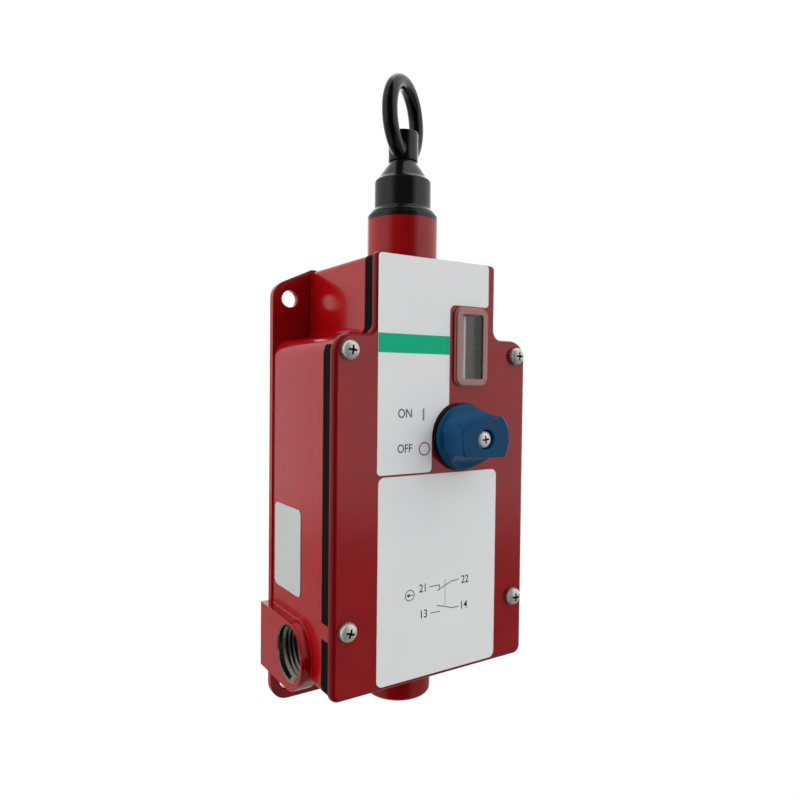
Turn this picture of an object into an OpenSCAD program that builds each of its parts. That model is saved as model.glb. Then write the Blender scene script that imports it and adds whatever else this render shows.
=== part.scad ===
// Rope pull switch: a cast housing on a back plate, a flat screwed cover, a sprung pull
// shaft with an eye on top, and a reset knob that works the switch blocks inside.
// X is to the right, Y runs into the back plate, Z is up. The origin lies on the mounting
// plane, at the centre of the four mounting holes.

/* [View] */
// Number of flats used to draw a circle
$fn = 64; // [32:8:128]

/* [Back plate] */
// Distance between the mounting holes across the plate
hole_pitch_x = 75; // [60:1:90]
// Distance between the mounting holes up the plate
hole_pitch_z = 162; // [140:1:190]
// Diameter of a mounting hole
mounting_hole_d = 7; // [5:0.5:9]
// Chamfer round the front of a mounting hole
mounting_hole_chamfer = 0.5; // [0.2:0.1:1]
// Radius of the plate's corners, centred on the holes
plate_corner_r = 7.7; // [6:0.1:10]
// Thickness of the plate
plate_t = 3; // [2:0.5:5]
// Height of the plate's top edge
plate_top_z = 94; // [92:0.5:100]

/* [Housing] */
// Depth of the housing from the mounting plane to its rim
housing_depth = 49; // [40:1:70]
// Wall thickness of the casting
wall_t = 3; // [2:0.5:4]
// Thickness of the casting's floor
floor_t = 3.5; // [2.5:0.5:5]
// How far the housing's shoulders and top lie below those of the cover
shoulder_drop = 0.5; // [0:0.1:2]
// Radius of a cover screw post
post_r = 6.8; // [5:0.1:8]
// Radius of the post's tip that stands through the gasket
post_tip_r = 4; // [3:0.1:5]
// Height of the web from an upper post tip to the shoulder and the outside
upper_web_h = 3.8; // [2:0.1:6]
// Height of the web from a lower post tip to the outside of the casting
lower_web_h = 5.8; // [3:0.1:8]
// How far the middle of a lower web lies below its screw
lower_web_drop = 1.4; // [0:0.1:3]
// Radius of the tapped hole in a post
post_hole_r = 1.75; // [1.2:0.05:2.5]
// Depth of the tapped hole in a post
post_hole_depth = 14; // [8:1:24]

/* [Neck and lower boss] */
// Distance of the pull axis behind the housing's rim
axis_set_back = 17.8; // [16:0.1:20]
// Outside radius of the neck
neck_r = 14.5; // [12:0.1:18]
// Height of the neck above the housing's top
neck_h = 21.3; // [18:0.5:30]
// Outside radius of the lower boss
lower_boss_r = 13.5; // [11:0.1:16]
// How far the lower boss stands out below the housing
lower_boss_h = 14.8; // [12:0.1:20]
// Thickness of the lower boss's closed end
lower_boss_end_t = 3; // [2:0.5:5]

/* [Conduit entry] */
// Distance of the entry's centre in front of the mounting plane
conduit_y = 28.8; // [20:0.1:36]
// Height of the entry's centre
conduit_z = -58; // [-64:0.1:-52]
// Radius of the tapped bore, for a half-inch conduit thread
conduit_bore_r = 10.5; // [8:0.1:12]
// Chamfer at the mouth of the bore
conduit_chamfer = 0.5; // [0.2:0.1:1]
// How far the entry's pad stands out from the side wall
conduit_pad_out = 4; // [2:0.5:8]
// How far the middle of the pad lies below the bore
conduit_pad_drop = 1.4; // [0:0.1:3]
// Half height of the pad, and the radius of its round front
conduit_pad_r = 13.3; // [12:0.1:16]
// Distance of the pad's round centre in front of the mounting plane
conduit_pad_y = 27.4; // [20:0.1:34]
// Length of the tapped bore
conduit_bore_len = 14; // [10:0.5:18]
// Outside radius of the collar round the bore inside the housing
conduit_collar_r = 12.4; // [12:0.1:15]

/* [Cover] */
// Width of the wide part of the cover
cover_w = 90; // [80:1:110]
// Height of the cover's bottom edge
cover_bottom_z = -67.7; // [-75:0.5:-60]
// Height of the cover's shoulders
shoulder_z = 64.1; // [58:0.1:70]
// Width of the upper tab
tab_w = 56.4; // [48:0.1:70]
// Height of the tab's top edge
tab_top_z = 93.9; // [88:0.1:100]
// Thickness of the cover
cover_t = 3; // [2:0.1:4]
// How far the cover stands out past the housing's sides
cover_overhang = 0.4; // [0:0.1:1]
// Radius of the shoulder corners
shoulder_r = 7.5; // [4:0.5:12]
// Radius of the bottom corners
bottom_r = 3.5; // [2:0.5:8]
// Radius of the tab's top corners
tab_r = 2; // [1:0.1:6]
// Radius of the hollow between tab and shoulder
hollow_r = 4; // [2:0.5:8]

/* [Cover gasket] */
// Thickness of the gasket between housing and cover
gasket_t = 5.8; // [2:0.1:8]
// Width of the gasket's band
gasket_w = 5; // [3:0.5:8]
// Width of the gasket round the inside of a screw post
gasket_post_w = 2.6; // [1.5:0.1:4]

/* [Cover screws] */
// Distance of a cover screw from the cover's side edge
screw_inset_x = 6; // [5:0.1:8]
// Height of the upper cover screws
screw_top_z = 57.7; // [50:0.1:60]
// Height of the lower cover screws
screw_bottom_z = -42.2; // [-55:0.1:-30]
// Radius of the screw's head
screw_head_r = 3.3; // [2.5:0.1:4.5]
// Height of the screw's head
screw_head_h = 2.3; // [1.5:0.1:3.5]
// Radius of the screw's shank
screw_shank_r = 1.7; // [1.2:0.05:2.4]
// Radius of the lock washer under the head
washer_r = 3.7; // [3:0.1:5]
// Thickness of the lock washer
washer_t = 0.8; // [0.5:0.1:1.2]

/* [Window] */
// Centre of the window across the cover
window_x = 15.2; // [12:0.1:18]
// Distance of the window's centre below the tab's top edge
window_drop = 33.3; // [30:0.1:36]
// Width of the lens
lens_w = 16.4; // [14:0.1:20]
// Height of the lens
lens_h = 31.2; // [26:0.1:36]
// Radius of the lens's corners
lens_r = 3.8; // [1.5:0.5:5]
// How far the lens stands out from the cover
lens_out = 1.8; // [1:0.1:3]
// Width of the clear pane inside the lens's frame
pane_w = 10; // [8:0.1:12]
// Height of the clear pane inside the lens's frame
pane_h = 25.4; // [20:0.1:28]
// Width of the lens's step through the cover
lens_step_w = 13; // [11:0.1:15]
// Height of the lens's step through the cover
lens_step_h = 28; // [24:0.1:30]
// Thickness of the seal behind the lens
window_seal_t = 1; // [0.5:0.1:2]
// How far the seal reaches past the cover's window hole
window_seal_lip = 0.6; // [0.4:0.1:0.7]

/* [Labels] */
// Thickness of a label
label_t = 0.25; // [0.15:0.05:0.5]
// Left edge of the upper label
upper_label_left = -27.2; // [-28:0.1:-24]
// Right edge of the upper label's head
upper_label_right = 24.1; // [20:0.1:28]
// Distance of the upper label's top edge below the tab's top edge
upper_label_margin = 0.6; // [0.4:0.1:3]
// Gap between the upper label's head and the window's lens
label_lens_gap = 0.4; // [0.2:0.1:2]
// Right edge of the upper label's column
upper_label_column_x = 5; // [2:0.1:7]
// Right edge of the column's foot
upper_label_foot_x = -3; // [-6:0.1:0]
// Radius of the upper label's corner by the window
notch_r = 2.6; // [1:0.1:3]
// Bottom edge of the upper label
upper_label_bottom = 12.4; // [8:0.1:16]
// Width of the lower label
lower_label_w = 56; // [40:0.1:70]
// Height of the lower label
lower_label_h = 77.4; // [50:0.5:90]
// Centre of the lower label across the cover
lower_label_x = 1.4; // [-5:0.1:5]
// Centre height of the lower label
lower_label_z = -27.1; // [-35:0.1:-20]
// Width of the side label, front to back
side_label_w = 25.1; // [15:0.1:35]
// Height of the side label
side_label_h = 33.8; // [20:0.5:60]
// Distance of the side label's centre in front of the mounting plane
side_label_y = 18.4; // [12:0.1:30]
// Centre height of the side label
side_label_z = -20.1; // [-35:0.1:20]
// Radius of a label's corners
label_r = 2.5; // [1:0.5:4]

/* [Pull shaft] */
// Radius of the pull shaft
shaft_r = 5; // [4:0.1:6]
// Travel of the shaft from its stop to full pull
shaft_travel = 14; // [8:0.5:18]
// Gap under the shaft's lower end at rest
shaft_end_gap = 1.3; // [0.5:0.1:4]
// Radius of the threaded end that holds the eye
stud_r = 4.4; // [3.5:0.1:5]
// Length of the threaded end above the eye's hub face
stud_len = 9; // [6:0.1:12]
// Radial running clearance of everything that slides or turns
run_clear = 0.05; // [0.02:0.01:0.1]

/* [Eye] */
// Radius of the eye from its centre to the middle of its rod
eye_r = 14.7; // [12:0.1:20]
// Radius of the eye's rod
eye_rod_r = 3.1; // [2.5:0.1:5]
// Height of the eye's centre above its hub's lower face
eye_rise = 17.6; // [15:0.1:24]
// Angle of the eye's plane from the cover's plane
eye_turn = 35; // [0:1:90]
// Radius of the eye's hub
eye_hub_r = 6.1; // [5.5:0.1:8]
// Height of the eye's hub
eye_hub_h = 12.1; // [9:0.1:14]

/* [Boot] */
// Outside radius of the boot's foot
boot_foot_r = 13.5; // [12:0.1:16]
// Outside radius of the boot's barrel
boot_r = 11.7; // [9:0.1:13]
// Outside radius of the boot's top
boot_top_r = 5.9; // [5.5:0.1:8]
// Wall of the boot
boot_wall = 1.6; // [1:0.1:2.5]
// Height of the boot's flared foot
boot_flare_h = 3.4; // [3:0.1:8]
// Height of the boot's cone
boot_cone_h = 5; // [3:0.1:8]
// Height of the boot from its foot to its top
boot_h = 22.1; // [20:0.1:36]

/* [Bushes and seal] */
// Outside radius of the upper guide bush
upper_bush_r = 8.5; // [7:0.1:10]
// Length of the upper guide bush
upper_bush_len = 16; // [10:1:20]
// Outside radius of the lower guide bush
lower_bush_r = 8; // [7:0.1:10]
// Height of the lower guide bush's top
lower_bush_top_z = -56; // [-60:0.5:-50]
// Thickness of the shaft seal ring
shaft_seal_t = 3; // [2:0.1:4]

/* [Main spring] */
// Mean radius of the main spring
spring_r = 9; // [7.5:0.1:11]
// Radius of the spring's wire
spring_wire_r = 1.2; // [0.8:0.1:1.6]
// Number of turns of the spring
spring_turns = 8; // [5:1:12]
// Height of the moving seat's top at rest
spring_seat_z = 41; // [36:0.5:46]
// Thickness of the moving seat
spring_seat_t = 3; // [2:0.5:5]

/* [Cam sleeve] */
// Radius of the cam sleeve
cam_r = 11; // [9:0.1:12]
// Height of the cam sleeve's lower end at rest
cam_bottom_z = 10; // [6:0.5:14]
// Height of the cam sleeve's upper end at rest
cam_top_z = 35.8; // [30:0.1:37]
// Height of the groove's centre at rest
groove_z = 22; // [16:0.5:28]
// Width of the groove
groove_w = 4.4; // [3:0.1:6]
// Depth of the groove
groove_depth = 3; // [2:0.1:5]

/* [Indicator] */
// Radius of the indicator rod behind the window
indicator_r = 3; // [2:0.1:4]
// Gap between the back of the window and the indicator rod
indicator_gap = 2.2; // [1.5:0.1:4]
// Gap between the gasket and the rod's tip at full pull
indicator_tip_gap = 0.4; // [0.3:0.1:4]

/* [Trip lever] */
// Distance of the lever's pivot to the left of the pull axis
lever_x = 30; // [24:0.5:34]
// Thickness of the lever
lever_t = 2; // [1.5:0.1:3]
// Width of the lever
lever_w = 8; // [6:0.5:12]
// Radius of the lever's hub
lever_hub_r = 5.5; // [4:0.1:7]
// Radius of the pivot
pivot_r = 2.5; // [2:0.1:3.5]
// Radius of the lever's follower pin
follower_r = 2; // [1.5:0.1:2.5]
// Gap between the cam sleeve's front and the lever
lever_gap = 0.5; // [0.3:0.1:1]

/* [Reset knob] */
// Centre of the knob across the cover
knob_x = 11; // [6:0.1:16]
// Height of the knob's centre
knob_z = 25.4; // [20:0.1:32]
// Radius of the knob's skirt
knob_r = 12.9; // [10:0.1:16]
// Height of the knob
knob_h = 14.6; // [10:0.1:20]
// Height of the knob's skirt
knob_skirt_h = 2.6; // [2:0.1:5]
// Radius of the grip's round ends
grip_r = 12; // [10:0.1:12.5]
// Width of the grip at its top
grip_w = 12.6; // [8:0.1:16]
// Radius of the hollow flank beside the grip
flank_r = 10; // [6:0.5:16]
// Length of the grip
grip_len = 22.6; // [18:0.1:24]
// Angle by which each flank of the grip widens towards its broad end
grip_taper = 8; // [0:1:10]
// Angle of the grip from level with the knob at OFF
grip_angle = 6; // [0:1:45]
// Turn of the knob from OFF to RUN
knob_turn = 40; // [20:1:60]
// Radius of the ring under the knob
knob_ring_r = 13.4; // [11:0.1:17]
// Thickness of the ring under the knob
knob_ring_t = 1.2; // [0.6:0.1:2]
// Radius of the spindle
spindle_r = 4; // [3:0.1:5]
// Outside radius of the spindle's bush
spindle_bush_r = 6; // [5:0.1:7]
// Radius of the knob screw's head
knob_screw_r = 3.2; // [2:0.1:3.5]

/* [Reset crank and slide] */
// Radius of the crank disc
crank_r = 11; // [10:0.1:14]
// Thickness of the crank disc
crank_t = 2.6; // [2:0.1:4]
// Distance of the crank pin from the spindle's axis
crank_throw = 8; // [5:0.1:9]
// Radius of the crank pin
crank_pin_r = 2; // [1.5:0.1:3]
// Thickness of the reset slide
slide_t = 2; // [1.5:0.1:3]
// Distance of the slide's guide posts from the housing's side wall
guide_wall_gap = 9.6; // [7:0.1:12]
// Radius of a guide post
guide_r = 2.5; // [2:0.1:3.5]
// Height of the lower guide post
guide_low_z = 6.5; // [6:0.5:8]
// Height of the upper guide post
guide_high_z = 19; // [18:0.5:22]

/* [Ground screw] */
// Place of the ground screw across the housing
ground_x = -22; // [-30:1:-14]
// Height of the ground screw
ground_z = -30; // [-44:1:0]
// Radius of the ground screw's boss
ground_boss_r = 4; // [3:0.1:6]
// Height of the ground screw's boss above the housing's floor
ground_boss_h = 4; // [3:0.5:8]

/* [Switch blocks] */
// Width of a switch block
block_w = 19; // [14:0.5:20]
// Thickness of a switch block, front to back
block_t = 16; // [12:0.5:17]
// Height of a switch block
block_h = 38; // [28:0.5:42]
// Centre of the switch blocks across the housing
block_x = 21.5; // [20:0.1:24]
// Height of the switch blocks' top
block_top_z = -6; // [-10:0.5:-4]
// Radius of a plunger
plunger_r = 2; // [1.5:0.1:3]
// Length of a plunger
plunger_len = 14; // [10:0.5:18]
// Thickness of the switch bracket
bracket_t = 1.5; // [1:0.1:2.5]
// Height of the bracket's two standoffs above the housing's floor
bracket_standoff = 3; // [2:0.5:5]
// Distance of a block screw from the middle of the blocks
block_screw_x = 6.5; // [5:0.1:7]
// Distance of the block screws below the top of the blocks
block_screw_drop = 14; // [8:0.5:22]
// Radius of a block screw's hole
block_screw_hole_r = 1.35; // [1:0.05:1.8]
// Distance of a terminal from the middle of its block
terminal_x = 6.1; // [5:0.1:6.5]
// Width of a terminal's pocket
terminal_pocket_w = 5.6; // [5:0.1:6]
// Height of a terminal's pocket
terminal_pocket_h = 8; // [6:0.5:12]
// Wall of the block behind a terminal's pocket
terminal_wall = 5; // [3:0.5:8]
// Radius of a terminal screw's head
terminal_head_r = 2.2; // [1.6:0.1:2.6]

/* [Hidden] */

gap = 0.15;
eps = 0.01;
front_y = -(housing_depth + gasket_t + cover_t);
cover_back_y = -(housing_depth + gasket_t);
rim_y = -housing_depth;
housing_w = cover_w - 2 * cover_overhang;
housing_tab_w = tab_w - 2 * cover_overhang;
housing_bottom_z = cover_bottom_z + cover_overhang;
housing_shoulder_z = shoulder_z - shoulder_drop;
housing_top_z = tab_top_z - shoulder_drop;
axis_y = housing_depth - axis_set_back;
neck_top_z = housing_top_z + neck_h;
lower_boss_z = housing_bottom_z - lower_boss_h;
window_z = tab_top_z - window_drop;
upper_label_top = tab_top_z - upper_label_margin;
upper_label_head_z = window_z + lens_h / 2 + label_lens_gap;
plate_slope = 25;
screw_x = cover_w / 2 - screw_inset_x;
screw_places = [[-screw_x, screw_top_z], [screw_x, screw_top_z],
  [-screw_x, screw_bottom_z], [screw_x, screw_bottom_z]];
mounting_places = [[-hole_pitch_x / 2, hole_pitch_z / 2], [hole_pitch_x / 2, hole_pitch_z / 2],
  [-hole_pitch_x / 2, -hole_pitch_z / 2], [hole_pitch_x / 2, -hole_pitch_z / 2]];
cavity_top_z = housing_top_z - wall_t;
seal_seat_z = neck_top_z - shaft_seal_t;
upper_bush_top_z = seal_seat_z - 1.5;
upper_bush_z = upper_bush_top_z - upper_bush_len;
lower_bush_z = lower_boss_z + lower_boss_end_t;
shaft_bottom_z = lower_bush_z + shaft_end_gap;
neck_seat_r = shaft_r + 1.5;
seal_r = upper_bush_r + 1;
spring_washer_t = 1.5;
spring_top_z = cavity_top_z - spring_washer_t;
spring_len = spring_top_z - spring_seat_z;
clip_t = 1.2;
clip_depth = 1;
clip_r = shaft_r + 2.5;
clip_mouth = 4.8;
seat_bottom_z = spring_seat_z - spring_seat_t;
hub_bottom_z = neck_top_z + boot_h + 0.1;
stud_top_z = hub_bottom_z + stud_len;
eye_z = hub_bottom_z + eye_rise;
eye_reach = eye_r + eye_rod_r + 1;
indicator_y = -cover_back_y - indicator_gap - indicator_r;
indicator_top_z = housing_top_z - gasket_w - shaft_travel - indicator_tip_gap;
wall_x = housing_w / 2;
pad_x = wall_x + conduit_pad_out;
guide_x = wall_x - wall_t - guide_wall_gap;
lever_front_y = -(axis_y + cam_r + lever_gap + lever_t);
lever_back_y = lever_front_y + lever_t;
pivot_z = groove_z + shaft_travel / 2;
lever_angle = atan2(shaft_travel / 2, lever_x);
pivot_post_r = 5;
pivot_hole_depth = 12;
slide_front_y = lever_front_y - 1.5 - slide_t;
slide_back_y = slide_front_y + slide_t;
crank_front_y = cover_back_y + 1.8;
crank_back_y = crank_front_y + crank_t;
crank_rest = knob_turn / 2;
slide_travel = 2 * crank_throw * sin(crank_rest);
crank_pin_z = knob_z - crank_throw * sin(crank_rest);
crank_pin_x = knob_x - crank_throw * cos(crank_rest);
shelf_z = block_top_z + 1;
shelf_t = 3;
slide_edge = 6;
slot_half = crank_pin_r + 0.6;
bracket_y = -(floor_t + bracket_standoff);
block_back_y = bracket_y - bracket_t;
block_front_y = block_back_y - 2 * block_t;
standoff_x = guide_x - 8;
standoff_r = 3.6;
standoff_low_z = block_top_z - block_h + 4;
standoff_high_z = guide_high_z - 6;
small_hole_r = 1.55;
ground_y = -floor_t - ground_boss_h;
plunger_places = [block_back_y - block_t / 2, block_back_y - 3 * block_t / 2];
terminal_places = [-terminal_x, terminal_x];
block_screw_places = [-block_screw_x, block_screw_x];
block_screw_z = block_top_z - block_screw_drop;
terminal_z = block_top_z - block_h + terminal_pocket_h / 2;
spindle_hole_len = 10;
knob_base_y = front_y - knob_ring_t - run_clear;
knob_top_y = knob_base_y - knob_h;
knob_bevel = 0.8;
grip_edge = 1.2;
knob_sink = 2.4;
knob_screw_len = 9;
spindle_top_y = knob_top_y + 5;

red = [0.66, 0.05, 0.06];
black = [0.06, 0.06, 0.06];
white = [0.86, 0.88, 0.86];
steel = [0.68, 0.69, 0.70];
brass = [0.78, 0.60, 0.28];
blue = [0.03, 0.24, 0.44];
clear = [0.75, 0.62, 0.60, 0.45];
ivory = [0.80, 0.78, 0.70];
green = [0.05, 0.50, 0.30];

// Moves a flat shape drawn in X and Z to a plate between two Y planes.
module plate_y(y_front, y_back) {
  translate([0, y_back, 0])
    rotate([90, 0, 0])
      linear_extrude(y_back - y_front)
        children();
}

// Round bar along Y.
module rod_y(x, z, r, y_front, y_back) {
  translate([x, y_back, z])
    rotate([90, 0, 0])
      cylinder(r = r, h = y_back - y_front);
}

// Round bar along Z on the pull axis.
module rod_z(r, z_bottom, z_top) {
  translate([0, -axis_y, z_bottom])
    cylinder(r = r, h = z_top - z_bottom);
}

// Tube along Z on the pull axis.
module tube_z(r_out, r_in, z_bottom, z_top) {
  difference() {
    rod_z(r_out, z_bottom, z_top);
    rod_z(r_in, z_bottom - 1, z_top + 1);
  }
}

// Rectangle with round corners, from its centre.
module rounded_rect(w, h, r) {
  square([w - 2 * r, h], center = true);
  square([w, h - 2 * r], center = true);
  for (sx = [-1, 1])
    for (sz = [-1, 1])
      translate([sx * (w / 2 - r), sz * (h / 2 - r)])
        circle(r = r);
}

// Outline of the housing and the cover: a wide part with a narrower tab on top. The
// corners are true arcs, and grow smaller by the inset.
module case_outline(w, bottom, shoulder, narrow, top, inset) {
  half_w = w / 2 - inset;
  half_n = narrow / 2 - inset;
  low = bottom + inset;
  mid = shoulder - inset;
  high = top - inset;
  big = max(shoulder_r - inset, 1);
  small = max(bottom_r - inset, 1);
  tip = max(tab_r - inset, 1);
  hollow = hollow_r + inset;
  translate([-half_w, low + small])
    square([2 * half_w, mid - big - low - small]);
  translate([-half_w + small, low])
    square([2 * (half_w - small), small]);
  translate([-half_w + big, mid - big])
    square([2 * (half_w - big), big]);
  translate([-half_n, mid - eps])
    square([2 * half_n, high - tip - mid + eps]);
  translate([-half_n + tip, high - tip])
    square([2 * (half_n - tip), tip]);
  for (s = [-1, 1]) {
    translate([s * (half_w - small), low + small])
      circle(r = small);
    translate([s * (half_w - big), mid - big])
      circle(r = big);
    translate([s * (half_n - tip), high - tip])
      circle(r = tip);
    difference() {
      translate([s * (half_n + hollow / 2), mid + hollow / 2])
        square([hollow, hollow], center = true);
      translate([s * (half_n + hollow), mid + hollow])
        circle(r = hollow);
    }
  }
}

// Outline of the cover, less an inset.
module cover_outline(inset) {
  case_outline(cover_w, cover_bottom_z, shoulder_z, tab_w, tab_top_z, inset);
}

// Outline of the housing's walls, less an inset.
module housing_outline(inset) {
  case_outline(housing_w, housing_bottom_z, housing_shoulder_z, housing_tab_w,
    housing_top_z, inset);
}

// Back plate: the ears and the foot are round about the mounting holes, and each ear's top
// edge slopes up to the tab.
module plate_outline() {
  half_x = hole_pitch_x / 2;
  half_z = hole_pitch_z / 2;
  edge_x = half_x + plate_corner_r;
  slope_x = plate_corner_r * sin(plate_slope);
  slope_z = plate_corner_r * cos(plate_slope);
  rise = plate_top_z - half_z - slope_z;
  top_x = half_x + slope_x - rise / tan(plate_slope);
  translate([-edge_x, -half_z])
    square([2 * edge_x, 2 * half_z]);
  translate([-half_x, -half_z - plate_corner_r])
    square([2 * half_x, plate_corner_r + 1]);
  for (place = mounting_places)
    translate(place)
      circle(r = plate_corner_r);
  polygon([[-half_x - slope_x, half_z + slope_z], [-top_x, plate_top_z],
    [top_x, plate_top_z], [half_x + slope_x, half_z + slope_z],
    [half_x, half_z], [-half_x, half_z]]);
}

// D-shaped pad of the conduit entry on the left wall.
module conduit_pad() {
  translate([-pad_x, 0, conduit_z - conduit_pad_drop])
    rotate([90, 0, 90])
      linear_extrude(conduit_pad_out + wall_t) {
        translate([-conduit_pad_y, -conduit_pad_r])
          square([conduit_pad_y, 2 * conduit_pad_r]);
        translate([-conduit_pad_y, 0])
          circle(r = conduit_pad_r);
      }
  translate([-pad_x + 1, -conduit_y, conduit_z])
    rotate([0, 90, 0])
      cylinder(r = conduit_collar_r, h = conduit_bore_len - 1);
}

// Tapped bore of the conduit entry with a chamfer at its mouth.
module conduit_bore() {
  translate([-pad_x - 1, -conduit_y, conduit_z])
    rotate([0, 90, 0])
      cylinder(r = conduit_bore_r, h = conduit_bore_len + 2);
  translate([-pad_x, -conduit_y, conduit_z])
    rotate([0, 90, 0])
      cylinder(r1 = conduit_bore_r + conduit_chamfer, r2 = conduit_bore_r,
        h = conduit_chamfer);
}

// Flat shape of the post tips: round tips, and a web from each to the outside.
module post_tips(grow) {
  web_w = post_r + 2;
  for (place = screw_places)
    translate(place)
      circle(r = post_tip_r + grow);
  for (s = [-1, 1]) {
    web_x = s > 0 ? screw_x : -screw_x - web_w;
    translate([web_x, housing_shoulder_z - upper_web_h - grow])
      square([web_w, upper_web_h + grow + 1]);
    translate([web_x, screw_bottom_z - lower_web_drop - lower_web_h / 2 - grow])
      square([web_w, lower_web_h + 2 * grow]);
  }
}

module housing() {
  color(red)
    difference() {
      union() {
        plate_y(-plate_t, 0)
          plate_outline();
        difference() {
          plate_y(rim_y, 0)
            housing_outline(0);
          plate_y(rim_y - 1, -floor_t)
            housing_outline(wall_t);
        }
        rod_z(neck_r, cavity_top_z, neck_top_z);
        rod_z(lower_boss_r, lower_boss_z, housing_bottom_z + wall_t);
        conduit_pad();
        intersection() {
          plate_y(rim_y, -floor_t + 1)
            for (place = screw_places)
              translate(place)
                circle(r = post_r);
          plate_y(rim_y, 0)
            housing_outline(0.5);
        }
        intersection() {
          plate_y(cover_back_y, rim_y + 2)
            post_tips(0);
          plate_y(cover_back_y, 0)
            housing_outline(0);
        }
        rod_y(-lever_x, pivot_z, pivot_post_r, lever_back_y + 1.2, -floor_t + 1);
        for (z = [standoff_low_z, standoff_high_z])
          rod_y(standoff_x, z, standoff_r, bracket_y, -floor_t + 1);
        rod_y(ground_x, ground_z, ground_boss_r, ground_y, -floor_t + 1);
      }
      for (place = mounting_places) {
        rod_y(place[0], place[1], mounting_hole_d / 2, -plate_t - 1, 1);
        translate([place[0], -plate_t + mounting_hole_chamfer, place[1]])
          rotate([90, 0, 0])
            cylinder(r1 = mounting_hole_d / 2, r2 = mounting_hole_d / 2 + mounting_hole_chamfer,
              h = mounting_hole_chamfer + eps);
      }
      for (place = screw_places)
        rod_y(place[0], place[1], post_hole_r, cover_back_y - 1,
          cover_back_y + post_hole_depth);
      rod_z(seal_r, seal_seat_z, neck_top_z + 1);
      rod_z(upper_bush_r + 0.02, upper_bush_z, seal_seat_z + 1);
      rod_z(neck_seat_r, cavity_top_z - 1, upper_bush_z + 1);
      rod_z(lower_bush_r + 0.02, lower_bush_z, housing_bottom_z + wall_t + 1);
      conduit_bore();
      rod_y(-lever_x, pivot_z, small_hole_r, lever_back_y - 1, lever_back_y + pivot_hole_depth);
      rod_y(standoff_x, standoff_high_z, small_hole_r, bracket_y - 1, -1);
      rod_y(ground_x, ground_z, post_hole_r, ground_y - 1, -1);
    }
}

module cover_gasket() {
  color(black)
    plate_y(cover_back_y, rim_y)
      difference() {
        union() {
          difference() {
            housing_outline(0);
            housing_outline(gasket_w);
          }
          intersection() {
            housing_outline(0);
            for (place = screw_places)
              translate(place)
                circle(r = post_tip_r + gap + gasket_post_w);
          }
        }
        post_tips(gap);
      }
}

module cover() {
  color(red)
    difference() {
      plate_y(front_y, cover_back_y)
        cover_outline(0);
      for (place = screw_places)
        rod_y(place[0], place[1], screw_shank_r + 0.3, front_y - 1, cover_back_y + 1);
      plate_y(front_y - 1, cover_back_y + 1)
        translate([window_x, window_z])
          rounded_rect(lens_step_w + 0.2, lens_step_h + 0.2, lens_r - 1);
      rod_y(knob_x, knob_z, spindle_bush_r + 0.02, front_y - 1, cover_back_y + 1);
    }
}

// Cross recess of a screw that looks towards -Y.
module cross_recess(r, y_head, depth) {
  for (turn = [0, 90])
    translate([0, y_head + depth / 2, 0])
      rotate([0, turn + 20, 0])
        cube([2 * r, depth + eps, r / 3], center = true);
}

// Pan-head screw that looks towards -Y, with its seat at Y = 0.
module pan_screw(head_r, head_h, shank_r, length) {
  side_h = head_h * 0.45;
  difference() {
    union() {
      rod_y(0, 0, head_r, -side_h, 0);
      translate([0, -side_h, 0])
        rotate([90, 0, 0])
          cylinder(r1 = head_r, r2 = head_r * 0.72, h = head_h - side_h);
      rod_y(0, 0, shank_r, -eps, length);
    }
    cross_recess(head_r * 0.55, -head_h, head_h * 0.6);
  }
}

module cover_screws() {
  color(steel)
    for (place = screw_places)
      translate([place[0], front_y - washer_t, place[1]])
        pan_screw(screw_head_r, screw_head_h, screw_shank_r,
          cover_t + washer_t + post_hole_depth - 2);
}

module lock_washers() {
  color(steel)
    for (place = screw_places)
      difference() {
        rod_y(place[0], place[1], washer_r, front_y - washer_t, front_y);
        rod_y(place[0], place[1], screw_shank_r + 0.2, front_y - washer_t - 1, front_y + 1);
      }
}

// Clear lens: a bevelled frame round a flat pane, with a step that fills the cover's hole.
module window_lens() {
  bevel = 1;
  color(clear)
    translate([window_x, 0, window_z]) {
      plate_y(front_y - lens_out + bevel, front_y)
        rounded_rect(lens_w, lens_h, lens_r);
      difference() {
        plate_y(front_y - lens_out, front_y - lens_out + bevel + eps)
          rounded_rect(lens_w - bevel, lens_h - bevel, lens_r - bevel / 2);
        plate_y(front_y - lens_out - 1, front_y - lens_out + 0.6)
          rounded_rect(pane_w, pane_h, 0.8);
      }
      plate_y(front_y - eps, cover_back_y)
        rounded_rect(lens_step_w, lens_step_h, lens_r - 1);
    }
}

module window_seal() {
  color(black)
    plate_y(cover_back_y, cover_back_y + window_seal_t)
      translate([window_x, window_z])
        difference() {
          rounded_rect(lens_step_w + 2 * window_seal_lip, lens_step_h + 2 * window_seal_lip, lens_r - 1);
          rounded_rect(pane_w, pane_h, 0.8);
        }
}

// Upper label: a wide head, a column that makes room for the window and the knob, and a
// narrower foot. The corner by the window is filled to a radius.
module upper_label() {
  head_w = upper_label_right - upper_label_left;
  column_w = upper_label_column_x - upper_label_left;
  foot_w = upper_label_foot_x - upper_label_left;
  foot_h = upper_label_top - upper_label_bottom;
  color(white)
    plate_y(front_y - label_t, front_y)
      difference() {
        union() {
          translate([upper_label_left + head_w / 2, (upper_label_top + upper_label_head_z) / 2])
            rounded_rect(head_w, upper_label_top - upper_label_head_z, 1.5);
          translate([upper_label_left, knob_z])
            square([column_w, upper_label_head_z + 2 - knob_z]);
          translate([upper_label_left + foot_w / 2, upper_label_bottom + foot_h / 2])
            rounded_rect(foot_w, foot_h, 1.5);
          difference() {
            translate([upper_label_column_x - eps, upper_label_head_z - notch_r])
              square([notch_r, notch_r + eps]);
            translate([upper_label_column_x + notch_r, upper_label_head_z - notch_r])
              circle(r = notch_r);
          }
        }
        translate([knob_x, knob_z])
          circle(r = knob_ring_r + 0.6);
      }
}

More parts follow.
